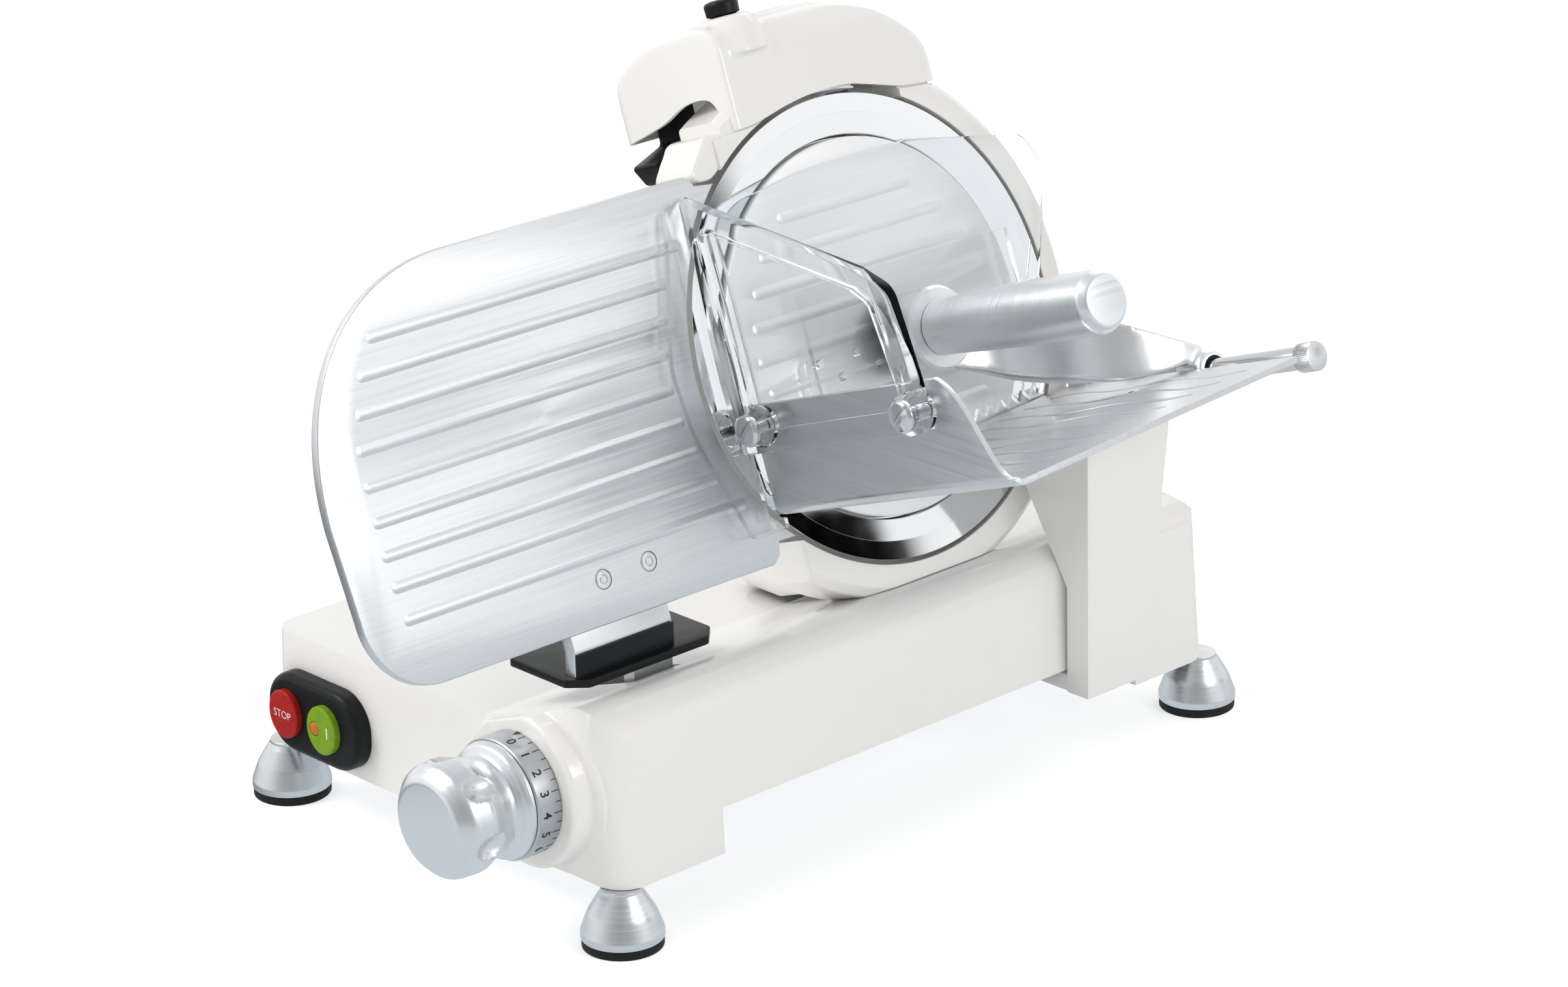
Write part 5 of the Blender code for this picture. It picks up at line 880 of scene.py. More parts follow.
def rib(start, end, middle, low, high, wide=0.0031):
    """Raised strip with round ends and a low, soft crown."""
    outline = oblong(start, end, middle - wide, middle + wide, wide - 0.0002, 6)
    form = slab(outline, low, high - RIB_ROUND)
    return crowned(form, X, high - RIB_ROUND - 1e-6,
                   ((0.0009, 0.0002), (0.0009, 0.0002), (0.0008, 0.0001)))


class OBJECT_OT_slicer_gauge(bpy.types.Operator):
    """Ribbed gauge plate with its rivets, bracket and black shroud"""
    bl_idname = "object.slicer_gauge"
    bl_label = "Gauge plate"

    def execute(self, context):
        stuff = stuffs()
        detail = context.scene.slicer_details
        form = slab(gauge_edge(), -0.0065, -0.0005, "YZ", detail.sheet_edge, 3)
        ribs = [rib(a, b, v, -0.0015, -0.0005 + detail.rib_height) for a, b, v in
                zip(RIB_STARTS, RIB_ENDS, RIB_HEIGHTS)]
        form = combined(form, ribs, "UNION")
        form = combined(form, [rod(0.0053, -0.008, 0.002, "X", spot) for spot in RIVETS])
        piece("gauge_face", form, BLADE, stuff["plate"], "gauge", ["gauge_plate"])
        for number, spot in enumerate(RIVETS, 1):
            head = turned([(0, -0.0004), (0.0018, -0.0003), (0.0022, -0.0007), (0.0026, -0.0002),
                           (0.0043, -0.0002), (0.0050, -0.0006), (0.0050, -0.0063),
                           (0, -0.0063)], "X", spot, 64)
            piece("rivet_%d" % number, head, BLADE, stuff["satin"], "gauge",
                  ["gauge_rivet_%d" % number])
        self.bracket(stuff)
        return {"FINISHED"}

    def bracket(self, stuff):
        """Bent bracket behind the plate, and the shroud over the slot that it moves in."""
        sine, cosine = math.sin(TILT), math.cos(TILT)
        outer, thick, bend, head, low = -0.0068, 0.008, -0.112, -0.062, 0.0925
        front, rear = -0.243, -0.177
        drop = BLADE_SPOT.z + outer * sine + bend * cosine - low
        foot = (outer - drop * sine, bend - drop * cosine)
        heel = (foot[0] - thick * cosine, foot[1] + thick * sine)
        rise = (outer - thick - heel[0]) / sine
        side = rounded([(outer, head, 0.001), (outer, bend, 0.006), (*foot, 0), (*heel, 0),
                        (outer - thick, heel[1] + rise * cosine, 0.003),
                        (outer - thick, head, 0.001)], 5)
        form = slab(side, front, rear, "XZ")
        soften(form, 0.0012, 3, lambda e: span(e, Y) < 1e-6)
        bar = set_at((0.100, -0.178, 0.101), -TILT, "Y", MIDDLE)
        hole = placed(rod(0.0053, -0.0405, 0.0265, "X"), BLADE.inverted() @ bar)
        waist = placed(block(-FAR, FAR, -FAR, -0.172, 0.107, 0.1295), BLADE.inverted() @ MIDDLE)
        piece("bracket", combined(form, [hole, waist]), BLADE, stuff["satin"], "gauge",
              ["gauge_bracket"])
        leg = BLADE_SPOT.x + outer * cosine - bend * sine
        plan = rounded([(0.057, -0.2165, 0.001), (0.1000, -0.2165, 0.003), (0.1090, -0.207, 0.003),
                        (0.1090, -0.126, 0.003), (0.0990, -0.116, 0.003),
                        (0.057, -0.116, 0.001)], 4)
        plate = slab(plan, 0.130, 0.1345, "XY", 0.0007, 3)
        window = block(leg - thick - HAIR, leg + HAIR, BLADE_SPOT.y + front - HAIR,
                       BLADE_SPOT.y + rear + HAIR, 0.125, 0.14)
        # Painted shade: a thin black strip over the lower part of the bracket leg's outer face,
        # which is dark in shade just above the shroud
        painted_shade_strip = block(leg + HAIR, leg + 0.0015, -0.2108, -0.1454, 0.1330, 0.1470, 0.0003, 2)
        plate = combined(combined(plate, [window]), [painted_shade_strip], "UNION")
        piece("shroud", plate, MIDDLE, stuff["black"], "gauge", ["shroud_plate"])


# Blade, its cover and its housing

class OBJECT_OT_slicer_blade(bpy.types.Operator):
    """Ground blade, ribbed cover disc and the knob of its tie rod"""
    bl_idname = "object.slicer_blade"
    bl_label = "Blade and cover"

    def execute(self, context):
        stuff = stuffs()
        detail = context.scene.slicer_details
        wheel = turned([(0.0103, -0.0085), (0.1024, -0.0085), (0.1030, -0.0080),
                        (0.1032, -0.0028), (0.1036, -0.0023), (0.1150, -0.0008),
                        (0.1151, -0.00078), (0.1249, 0.0), (0.1250, -0.0002), (0.1250, -0.0004),
                        (0.1180, -0.0045), (0.1040, -0.0120), (0.0103, -0.0120)], steps=192)
        piece("blade_wheel", wheel, BLADE, stuff["blade"], "blade_rotor", ["blade"],
              math.radians(3))
        disc = turned(rounded([(0, 0.0003, 0), (0.1018, 0.0003, 0.0010), (0.1018, -0.0078, 0.0006),
                               (0.0993, -0.0078, 0), (0.0993, -0.0017, 0), (0.0090, -0.0017, 0),
                               (0.0090, -0.0082, 0), (0.0044, -0.0082, 0), (0.0044, -0.0030, 0),
                               (0, -0.0030, 0)], 4), "X", steps=160)
        ribs = []
        for k in range(-4, 5):
            middle = 0.0172 * k
            reach = math.sqrt(0.0843 ** 2 - middle ** 2)
            ribs.append(rib(-reach, reach, middle, -0.0006, 0.0003 + detail.rib_height))
        piece("blade_disc", combined(disc, ribs, "UNION"), BLADE, stuff["disc"], "base",
              ["blade_cover"])
        tie = turned(rounded([(0, -0.0033), (0.004, -0.0033), (0.004, -0.1123),
                              (0.0085, -0.1123, 0.0004), (0.0085, -0.1150),
                              (0.0140, -0.1150, 0.0008), (0.0140, -0.1320, 0.0022),
                              (0, -0.1320)], 4), steps=72)
        grooves = [rod(0.0016, -0.1335, -0.1165, "X", at, 0, 16)
                   for at in oval((0, 0), 0.0150, 0.0150, 18)]
        piece("tie_knob", combined(tie, grooves), BLADE, stuff["black"], "tie", ["tie_rod"])
        return {"FINISHED"}


HOUSING_LOW = -0.1362
HOOD_EDGE = flowing([(-0.085, 0.1200), (-0.066, 0.1200), (-0.058, 0.1200), (-0.050, 0.1205),
                     (-0.038, 0.1225), (-0.023, 0.1256), (-0.003, 0.1280), (0.020, 0.1278),
                     (0.036, 0.1245), (0.056, 0.1195), (0.070, 0.1178), (0.092, 0.1165)],
                    False, 5)


class OBJECT_OT_slicer_housing(bpy.types.Operator):
    """Cast ring round the blade with its bearing boss, horn and drive cover"""
    bl_idname = "object.slicer_housing"
    bl_label = "Blade housing"

    def execute(self, context):
        stuff = stuffs()
        ring = turned(rounded([(0.014, -0.030, 0), (0.1275, -0.030, 0), (0.1275, 0.0, 0.0006),
                               (0.1400, -0.0003, 0.002), (0.1450, -0.0055, 0.004),
                               (0.1450, -0.0340, 0.002), (0.0235, -0.0340, 0),
                               (0.0235, -0.0640, 0.002), (0.0176, -0.0640, 0),
                               (0.0176, -0.0355, 0), (0.014, -0.0355, 0)], 5), "X", steps=160)
        side = slab([(-FAR, -FAR), (-0.084, -FAR), (-0.084, 0.0008), (-0.076, 0.0008),
                     (-0.076, FAR), (-FAR, FAR)], -0.036, 0.002)
        side = combined(side, [rod(0.122, -FAR, -0.0297, "X", (0, 0), 0, 120)])
        below = block(-FAR, 0.002, -FAR, FAR, -FAR, HOUSING_LOW)
        gaps = [block(-0.037, 0.003, left, right, low, FAR) for left, right, low in
                ((0.0265, 0.0580, 0.105), (0.0818, 0.0878, 0.1150), (-0.0765, -0.0700, 0.1180))]
        ring = combined(ring, [below, *gaps, self.hood_way(), side])
        soften(ring, 0.0012, 3, lambda e: lowest(e, Y) < -0.06 and e.calc_length() > 0.006
               and min(math.hypot(v.co.y, v.co.z) for v in e.verts) > 0.118, math.radians(60))
        horn = slab(flowing([(-0.094, 0.106), (-0.0955, 0.1015), (-0.089, 0.0985),
                             (-0.0805, 0.0995), (-0.066, 0.1095), (-0.052, 0.1172),
                             (-0.0625, 0.1205), (-0.080, 0.121), (-0.0865, 0.1150)], True, 4),
                    HAIR - 0.034, -0.002, "YZ")
        horn = melted(horn, 0.0010, 22)
        lug = block(-0.060, -0.0338, 0.018, 0.042, 0.060, 0.100, 0.002)
        ring = combined(ring, [horn, lug], "UNION")
        ring = combined(ring, [rod(0.0053, 0.0637, 0.102, "Z", (-0.050, 0.030)),
                               rod(0.0145, -0.036, -0.028, "X", (0, -0.085))])
        piece("housing_enamel", ring, BLADE, stuff["enamel"], "base", ["blade_housing"])
        self.drive_cover(stuff)
        return {"FINISHED"}

    def hood_way(self):
        """Flat on the ring's front that the hood's wall passes over."""
        low = [(u, v - 0.0012) for u, v in HOOD_EDGE]
        return slab([(-0.100, low[0][1])] + low[1:] + [(0.0878, 0.16), (-0.100, 0.16)],
                    -0.0016, 0.004, "YZ")

    def drive_cover(self, stuff):
        """Cover of the motor and the belt behind the ring, with its vents."""
        sine, cosine = math.sin(TILT), math.cos(TILT)
        front, rear, top, half, wall = -0.0345, -0.112, 0.048, 0.052, 0.004
        heel = (BASE_DECK + HAIR - BLADE_SPOT.z - rear * sine) / cosine
        kink = (RAMP_AT - BLADE_SPOT.x + HOUSING_LOW * sine) / cosine

        def round_rims(edge):
            return highest(edge, X) < front - 1e-4 or span(edge, X) > 0.02

        shell = slab(rounded([(front, HOUSING_LOW, 0), (front, top, 0), (rear, top, 0.032),
                              (rear, heel, 0), (kink, HOUSING_LOW, 0)], 14), -half, half, "XZ")
        soften(shell, 0.015, 8, round_rims, math.radians(60))
        inner = slab(rounded([(0, -FAR, 0), (0, top - wall, 0), (rear + wall, top - wall, 0.028),
                              (rear + wall, -FAR, 0)], 10), wall - half, half - wall, "XZ")
        soften(inner, 0.011, 6, round_rims, math.radians(60))
        slots = [block(rear - OVER, rear + wall + OVER, -0.030, 0.030, v, v + 0.0035, 0.0012, 2)
                 for v in (-0.105, -0.096, -0.087, -0.078)]
        form = combined(shell, [inner, rod(0.0046, rear - OVER, rear + wall + OVER)] + slots)
        piece("drive_shell", form, BLADE, stuff["enamel"], "base", ["motor_cover"])


# Sharpener

HOOD_WALL = 0.0030
CLAMP_AT = (-0.012, -0.039)
STONE_AT = (0.042, 0.1272)


def hood_solid(room):
    """Hood of the sharpener before its edges are softened, or the space inside its wall."""
    end = flowing([(0.002, 0.100), (0.002, 0.135), (0.002, 0.162), (-0.002, 0.1725),
                   (-0.012, 0.1760), (-0.030, 0.1758), (-0.053, 0.1700), (-0.070, 0.1580),
                   (-0.0765, 0.1450), (-0.077, 0.124), (-0.077, 0.100)], False, 5)
    end = [(min(max(n, room - 0.077), 0.002 - room), v if v < 0.101 else v - room)
           for n, v in end]
    form = slab(end, -0.090, 0.090 - room, "XZ")
    plan = rounded([(0.004, -0.060 + room, 0.004), (0.004, 0.086 - room, 0.010),
                    (-0.080, 0.086 - room, 0.012), (-0.080, -0.078 + room, 0.014)], 8)
    side = flowing([(0.0880, 0.110), (0.0862, 0.124), (0.0808, 0.1405), (0.0678, 0.1535),
                    (0.0468, 0.1655), (0.0235, 0.1730), (0.0030, 0.1775), (-0.020, 0.1795),
                    (-0.045, 0.1785), (-0.066, 0.1748), (-0.076, 0.1660), (-0.079, 0.150),
                    (-0.079, 0.110)], False, 5)
    side = [(u - room if u > 0.079 else u, v - room) for u, v in side]
    return combined(form, [slab(plan, 0.08, 0.2, "XY"), slab(side, -0.1, 0.01, "YZ")],
                    "INTERSECT")


class OBJECT_OT_slicer_sharpener(bpy.types.Operator):
    """Hood of the sharpener with its clamp knob and grit gutter"""
    bl_idname = "object.slicer_sharpener"
    bl_label = "Sharpener"

    def execute(self, context):
        stuff = stuffs()
        collar = turned([(0, 0.158), (0.0200, 0.158), (0.0170, 0.1715), (0.0134, 0.1790),
                         (0, 0.1790)], "Z", CLAMP_AT)
        outer = melted(combined(hood_solid(0), [collar], "UNION"), 0.0014, 14)

        # What is cut away: below the ring's line, the curved mouth of the left end, and the bores

        under = slab(HOOD_EDGE + [(0.11, 0.09), (-0.1, 0.09)], -0.1, 0.02, "YZ")
        mouth = flowing([(-0.0012, 0.119), (-0.0030, 0.123), (-0.0065, 0.1300), (-0.0130, 0.1385),
                         (-0.0290, 0.1380), (-0.0450, 0.1310), (-0.0640, 0.1262),
                         (-0.0800, 0.1235)], False, 5)
        mouth = slab(mouth + [(-0.085, 0.09), (-0.0012, 0.09)], -0.1, -0.046, "XZ")
        well = rod(0.0095, 0.158, 0.19, "Z", CLAMP_AT)
        port = rod(0.0078, -0.09, -0.07, "X", STONE_AT)
        form = combined(outer, [hood_solid(HOOD_WALL), under, mouth, well, port])
        piece("hood_enamel", form, BLADE, stuff["enamel"], "sharpener", ["sharpener_hood"])
        knob = turned(rounded([(0, 0.148), (0.003, 0.148), (0.003, 0.1600), (0.0092, 0.1600),
                               (0.0092, 0.1768), (0.0086, 0.1768), (0.0084, 0.1650, 0.001),
                               (0.0064, 0.1650, 0.001), (0.0064, 0.1790, 0.001),
                               (0.0090, 0.1796, 0.0006), (0.0093, 0.1868, 0.0022),
                               (0.0050, 0.1878, 0.0020), (0, 0.1878)], 4), "Z", CLAMP_AT, 64)
        piece("clamp_grip", knob, BLADE, stuff["black"], "clamp", ["clamp_knob"])
        gutter = slab(rounded([(-0.080, 0.1125, 0.002), (-0.073, 0.1015, 0.004),
                               (-0.052, 0.099, 0.003), (-0.044, 0.108, 0.002),
                               (-0.044, 0.1457, 0), (-0.056, 0.1457, 0.001),
                               (-0.057, 0.1205, 0.003)], 4), -0.068, -0.048, "YZ", 0.0012, 3)
        piece("grit_gutter", gutter, BLADE, stuff["black"], "sharpener", ["sharpener_gutter"])
        button = turned(rounded([(0, -0.0183), (0.003, -0.0183), (0.003, -0.0705),
                                 (0.0072, -0.0705, 0.0005), (0.0072, -0.0860, 0.0015),
                                 (0, -0.0858)], 4), "X", STONE_AT, 48)
        piece("stone_push", button, BLADE, stuff["black"], "stone", ["stone_spindle"])
        return {"FINISHED"}


# Carriage

TRAY_RISE = math.radians(3.2)
TRAY_LOW, TRAY_FRONT, TRAY_THICK = -0.0796, -0.101, 0.0033
BED = set_at((0, TRAY_FRONT, TRAY_LOW), TRAY_RISE, "X", BLADE)
BED_SCREWS = ((0.098, 0.0931), (0.022, 0.1973), (0.095, 0.1813))
GUARD_SCREWS = ((0.016, -0.030), (0.136, -0.034))
PIVOT = (0.128, -0.068)


def bed_height(u):
    """Height of the bed's underside in the blade's frame."""
    return TRAY_LOW + (u - TRAY_FRONT) * math.tan(TRAY_RISE)


class OBJECT_OT_slicer_carriage(bpy.types.Operator):
    """Cast column of the carriage, and the bent tray with its waves and screws"""
    bl_idname = "object.slicer_carriage"
    bl_label = "Carriage and tray"

    def execute(self, context):
        stuff = stuffs()
        self.column(stuff)
        self.tray(stuff, context.scene.slicer_details)
        return {"FINISHED"}

    def column(self, stuff):
        """Leaning column with its foot on the slide block and its lugs for the rod."""
        tilted = MIDDLE.inverted() @ BLADE
        outline = [(0.1477, 0.0457), (0.1635, 0.0457), (0.1635, 0.2558), (0.084, 0.240),
                   (0.084, 0.170), (0.1155, 0.1605), (0.1477, 0.1065)]
        form = slab(outline, 0.0996, 0.2246, "XZ")
        side = [(0.08, 0), (0.1465, 0), (0.1465, 0.0457), (0.158, 0.148), (0.1635, 0.191),
                (0.1645, 0.245), (0.08, 0.245)]
        form = combined(form, [slab(side, 0, 0.3, "YZ")], "INTERSECT")
        top = placed(slab([(-FAR, bed_height(-FAR) - HAIR), (FAR, bed_height(FAR) - HAIR),
                           (FAR, FAR), (-FAR, FAR)], -FAR, FAR, "YZ"), tilted)
        near = placed(block(-FAR, 0.0036, -FAR, FAR, HOUSING_LOW, FAR), tilted)
        form = combined(form, [top, near])
        soften(form, 0.0028, 4, lambda e: e.calc_length() > 0.004 and lowest(e, X) > 0.08)
        foot = block(0.105, 0.1505, 0.0999, 0.1462, 0.0460, 0.0555, 0.0012, 2)
        form = combined(form, [foot], "UNION")
        lugs = [placed(block(a, a + w, 0.1205, 0.1380, -0.0800, -0.0580, 0.0012, 2), tilted)
                for a, w in ((0.005, 0.014), (0.050, 0.020))]
        form = combined(form, lugs, "UNION")
        bore = placed(rod(0.0066, -0.002, 0.092, "X", PIVOT), tilted)
        screw = placed(rod(0.0028, -0.010, 0.002, "Z", BED_SCREWS[1]), MIDDLE.inverted() @ BED)
        piece("column_enamel", combined(form, [bore, screw]), MIDDLE, stuff["enamel"],
              "carriage", ["carriage_column"])

    def tray(self, stuff, detail):
        """Bed and front wall of one bent sheet, with its holes, waves and screws."""
        inner, rear, top = TRAY_FRONT + TRAY_THICK, 0.125, -0.019
        side = rounded([(TRAY_FRONT, TRAY_LOW, 0.007), (rear, bed_height(rear), 0),
                        (rear, bed_height(rear) + TRAY_THICK, 0),
                        (inner, bed_height(inner) + TRAY_THICK, 0.0038),
                        (inner, top, 0.001), (TRAY_FRONT, top, 0.001)], 8)
        form = slab(side, 0.004, 0.188)
        curve = flowing([(0.1440, -0.0160), (0.1475, -0.0185), (0.1530, -0.0225),
                         (0.1590, -0.0290), (0.1655, -0.0400), (0.1715, -0.0540),
                         (0.1775, -0.0670), (0.1820, -0.0725), (0.1860, -0.0750),
                         (0.2000, -0.0750)], False, 6)
        curve = slab(curve + [(0.2, 0.0), (0.144, 0.0)], TRAY_FRONT - OVER, inner + 0.0006, "XZ")
        back = slab([(0, 0.1195), (0.190, 0.112), (0.190, 0.127), (0, 0.127)], -0.125, 0, "XY")
        form = combined(form, [curve, back])
        soften(form, detail.sheet_edge, 3, lambda e: highest(e, X) > 0.1435
               or lowest(e, Y) > 0.10, math.radians(50))
        place = BLADE.inverted() @ BED
        holes = [placed(turned([(0, -0.002), (0.0028, -0.002), (0.0028, 0.0008), (0.0053, 0.0033),
                                (0.0053, 0.006), (0, 0.006)], "Z", at, 40), place)
                 for at in BED_SCREWS]
        holes += [rod(0.0040, -0.105, -0.095, "Y", at) for at in GUARD_SCREWS]
        form = combined(form, holes)
        rows = detail.wave_rows
        first, last = 0.026, 0.196
        waves = [placed(self.wave(first + (last - first) * k / (rows - 1)), place)
                 for k in range(rows)]
        piece("tray_sheet", joined([form] + waves), BLADE, stuff["tray"], "carriage", ["tray"])
        for number, at in enumerate(BED_SCREWS, 1):
            screw = turned([(0, -0.0097), (0.0025, -0.0097), (0.0025, 0.0008), (0.0050, 0.0033),
                            (0, 0.0033)], "Z", at, 48)
            socket = slab(oval(at, 0.0019, 0.0019, 6), 0.0016, 0.005, "XY")
            piece("tray_screw_%d" % number, combined(screw, [socket]), BED, stuff["steel"],
                  "carriage", ["bed_screw_%d" % number])

    def wave(self, y):
        """One pressed wave across the bed, with tapered ends."""
        start, reach, swing, spots = 0.018, 0.150, 0.0034, 45
        path = [(start + reach * j / (spots - 1), y + swing * math.sin(2 * math.pi * j / 22))
                for j in range(spots)]
        wide = [0.0030 * min(1, (j + 1.4) / 4, (spots + 0.4 - j) / 4) for j in range(spots)]
        outline = ([(n, v - w) for (n, v), w in zip(path, wide)]
                   + [(n, v + w) for (n, v), w in zip(path, wide)][::-1])
        form = slab(outline, 0.0022, 0.0034, "XY")
        return crowned(form, Z, 0.0033, ((0.0007, 0.00025), (0.0008, 0.00015)))


# Clear front guard

class OBJECT_OT_slicer_front_guard(bpy.types.Operator):
    """Clear guard in front of the tray with its two slotted screws"""
    bl_idname = "object.slicer_front_guard"
    bl_label = "Front guard"

    def execute(self, context):
        stuff = stuffs()
        flange = rounded([(-0.124, 0.089, 0.003), (-0.113, 0.094, 0.002), (-0.1085, 0.094, 0.001),
                          (-0.1085, -0.0802, 0.001), (-0.097, -0.0802, 0.001),
                          (-0.097, -0.086, 0.001), (-0.121, -0.086, 0.004),
                          (-0.142, -0.027, 0.03), (-0.146, 0.010, 0.03)], 6)
        form = slab(flange, 0.003, 0.0065, "YZ")
        sheet = rounded([(0.003, 0.094, 0.001), (0.124, 0.0425, 0.020), (0.143, 0.030, 0.014),
                         (0.1475, -0.018, 0.02), (0.1475, -0.036, 0.006), (0.139, -0.043, 0.006),
                         (0.003, -0.043, 0.001)], 8)
        inner = [(n * 0.99 + 0.0007, v * 0.985) for n, v in sheet]
        pane = slab(inner, -0.1118, -0.1089, "XZ")
        hole = rounded([(0.0145, 0.0760, 0.004), (0.1180, 0.0325, 0.012), (0.1285, 0.0240, 0.008),
                        (0.1345, -0.0180, 0.010), (0.1345, -0.0290, 0.003),
                        (0.1325, -0.0315, 0.003), (0.0145, -0.0315, 0.004)], 8)
        rim = combined(slab(sheet, -0.1145, -0.1060, "XZ"), [slab(hole, -0.12, -0.10, "XZ")])
        soften(rim, 0.0017, 3, None, math.radians(60))
        bosses = [rod(0.011, -0.1145, -0.1013, "Y", at, 0.0025, 56) for at in GUARD_SCREWS]
        form = combined(form, [pane, rim] + bosses, "UNION")
        form = combined(form, [rod(0.004, -0.12, -0.10, "Y", at) for at in GUARD_SCREWS])
        piece("front_pane", form, BLADE, stuff["clear"], "carriage", ["front_guard"])
        for number, (n, v) in enumerate(GUARD_SCREWS, 1):
            screw = turned(rounded([(0, -0.1197), (0.0030, -0.1196, 0.004),
                                    (0.0074, -0.1186, 0.0015), (0.0086, -0.1172, 0.0006),
                                    (0.0086, -0.1148, 0.0003), (0.0036, -0.1148),
                                    (0.0036, -0.0962), (0, -0.0962)], 4), "Y", (n, v), 72)
            slot = placed(block(-0.02, 0.02, -0.13, -0.1177, -0.0008, 0.0008),
                          set_at((n, 0, v), -0.7))
            piece("pane_screw_%d" % number, combined(screw, [slot]), BLADE, stuff["steel"],
                  "carriage", ["guard_screw_%d" % number])
        return {"FINISHED"}


# Pusher

GRIP = (0.012, -0.008)


class OBJECT_OT_slicer_pusher(bpy.types.Operator):
    """Pusher with its rod, arm, handle, hand shield and spiked plate"""
    bl_idname = "object.slicer_pusher"
    bl_label = "Pusher"

    def execute(self, context):
        stuff = stuffs()
        piece("slide_rod", rod(0.0063, 0.004, 0.1757, "X", PIVOT, 0.0004, 64), BLADE,
              stuff["rod"], "carriage", ["pusher_rod"])
        crests = oval(PIVOT, 0.0080, 0.0080, 96)
        dips = oval(PIVOT, 0.0077, 0.0077, 96)
        knurl = [crests[k] if k % 2 else dips[k] for k in range(96)]
        piece("rod_cap", slab(knurl, 0.176, 0.187, "YZ", 0.0006, 2), BLADE, stuff["satin"],
              "carriage", ["rod_end_cap"])
        self.arm(stuff)
        grip = turned(rounded([(0, 0.0383), (0.0150, 0.0383, 0.0006), (0.0150, 0.0480, 0.050),
                               (0.0162, 0.0750, 0.100), (0.0170, 0.1050, 0.100),
                               (0.0170, 0.1600, 0.0040), (0.0140, 0.1648, 0.0030),
                               (0, 0.1652)], 6), "X", GRIP, 96)
        piece("grip", grip, BLADE, stuff["turned_x"], "pusher", ["handle"])
        shield = rounded([(-0.095, 0.073, 0.010), (-0.078, 0.0845, 0.03), (-0.023, 0.091, 0.2),
                          (0.044, 0.0915, 0.2), (0.131, 0.0765, 0.012), (0.141, 0.058, 0.010),
                          (0.132, 0.030, 0.02), (0.118, -0.003, 0.008), (0.100, -0.006, 0.003),
                          (-0.058, -0.006, 0.004), (-0.062, -0.066, 0.004),
                          (-0.094, -0.070, 0.006)], 8)
        piece("hand_guard", slab(shield, 0.004, 0.007, "YZ", 0.0009, 3), BLADE, stuff["shield"],
              "pusher", ["hand_shield"])
        self.spiked_plate(stuff)
        return {"FINISHED"}

    def arm(self, stuff):
        """Curved arm from the hub on the rod to the cup that holds the handle."""
        half = 0.005
        middle = flowing([(0.1020, 0.1280), (0.1012, 0.1120), (0.0940, 0.0920), (0.0750, 0.0750),
                          (0.0500, 0.0660), (0.0320, 0.0550), (0.0240, 0.0400),
                          (0.0210, 0.0220)], False, 6)
        left, right = [], []
        for k, (n, u) in enumerate(middle):
            before = middle[max(k - 1, 0)]
            after = middle[min(k + 1, len(middle) - 1)]
            way = Vector((after[0] - before[0], after[1] - before[1])).normalized()
            left.append((n - way.y * half, u + way.x * half))
            right.append((n + way.y * half, u - way.x * half))
        form = slab(left + right[::-1], -0.12, 0.12, "XY")
        side = flowing([(0.133, -0.0620), (0.112, -0.0610), (0.080, -0.0595), (0.045, -0.0400),
                        (0.012, -0.0240), (0.012, 0.0070), (0.042, 0.0030), (0.072, -0.0200),
                        (0.102, -0.0400), (0.133, -0.0565)], True, 6)
        form = combined(form, [slab(side, 0, 0.1757, "YZ")], "INTERSECT")
        hub = rod(0.0115, 0.092, 0.112, "X", PIVOT, 0.0015, 64)
        cup = turned(rounded([(0, 0.0106), (0.0215, 0.0106, 0.002), (0.0215, 0.0300, 0.002),
                              (0.0225, 0.0320, 0.001), (0.0225, 0.0370, 0.0010),
                              (0.0200, 0.0380), (0, 0.0380)], 5), "X", GRIP, 96)
        form = melted(combined(form, [hub, cup], "UNION"), 0.0011, 18)
        cap = turned([(0, 0.0300), (0.02265, 0.0300), (0.0228, 0.0325), (0.0226, 0.0366),
                      (0.0212, 0.0380), (0, 0.0380)], "X", GRIP, 96)
        form = combined(form, [cap], "UNION")
        form = combined(form, [rod(0.0083, 0.08, 0.124, "X", PIVOT)])
        piece("arm_casting", form, BLADE, stuff["bright"], "pusher", ["pusher_arm"])

    def spiked_plate(self, stuff):
        """Plate behind the shield, with a comb along its foot and spikes on its face."""
        left, right, top, teeth = -0.055, 0.100, 0.030, 18
        low_left, low_right, tooth = -0.0705, -0.0622, 0.006
        comb = []
        for k in range(2 * teeth + 1):
            share = k / (2 * teeth)
            u = right + (left - right) * share
            v = low_right + (low_left - low_right) * share
            comb.append((u, v + (0 if k % 2 else tooth)))
        form = slab([(left, top), (right, top)] + comb, 0.0073, 0.0103)
        spikes = []
        for row in range(2):
            for k in range(5):
                u = -0.050 + 0.027 * (k + row / 2)
                v = -0.0095 - 0.010 * row
                cone = bmesh.new()
                bmesh.ops.create_cone(cone, cap_ends=True, segments=4, radius1=0.0035,
                                      radius2=0, depth=0.0041)
                turn = set_at((0.00555, u, v), math.pi / 4, "X")
                spikes.append(placed(cone, turn @ Matrix.Rotation(-math.pi / 2, 4, "Y")))
        piece("spike_plate", combined(form, spikes, "UNION"), BLADE, stuff["clear"], "pusher",
              ["pusher_plate"])


# Inside

INSIDE = {"bottom_cover": "satin", "knob_shaft": "steel", "gauge_guide_bar": "rod",
          "gauge_slide_block": "dull", "axle_bearing": "steel", "motor_body": "dark",
          "motor_pulley": "steel", "blade_pulley": "dull", "blade_axle": "steel",
          "drive_belt": "rubber", "sharpener_mast": "rod", "sharpener_yoke": "satin",
          "grinding_stone": "stone", "carriage_slide_block": "dull",
          "carriage_guide_rod": "rod", "pusher_bush": "black"}


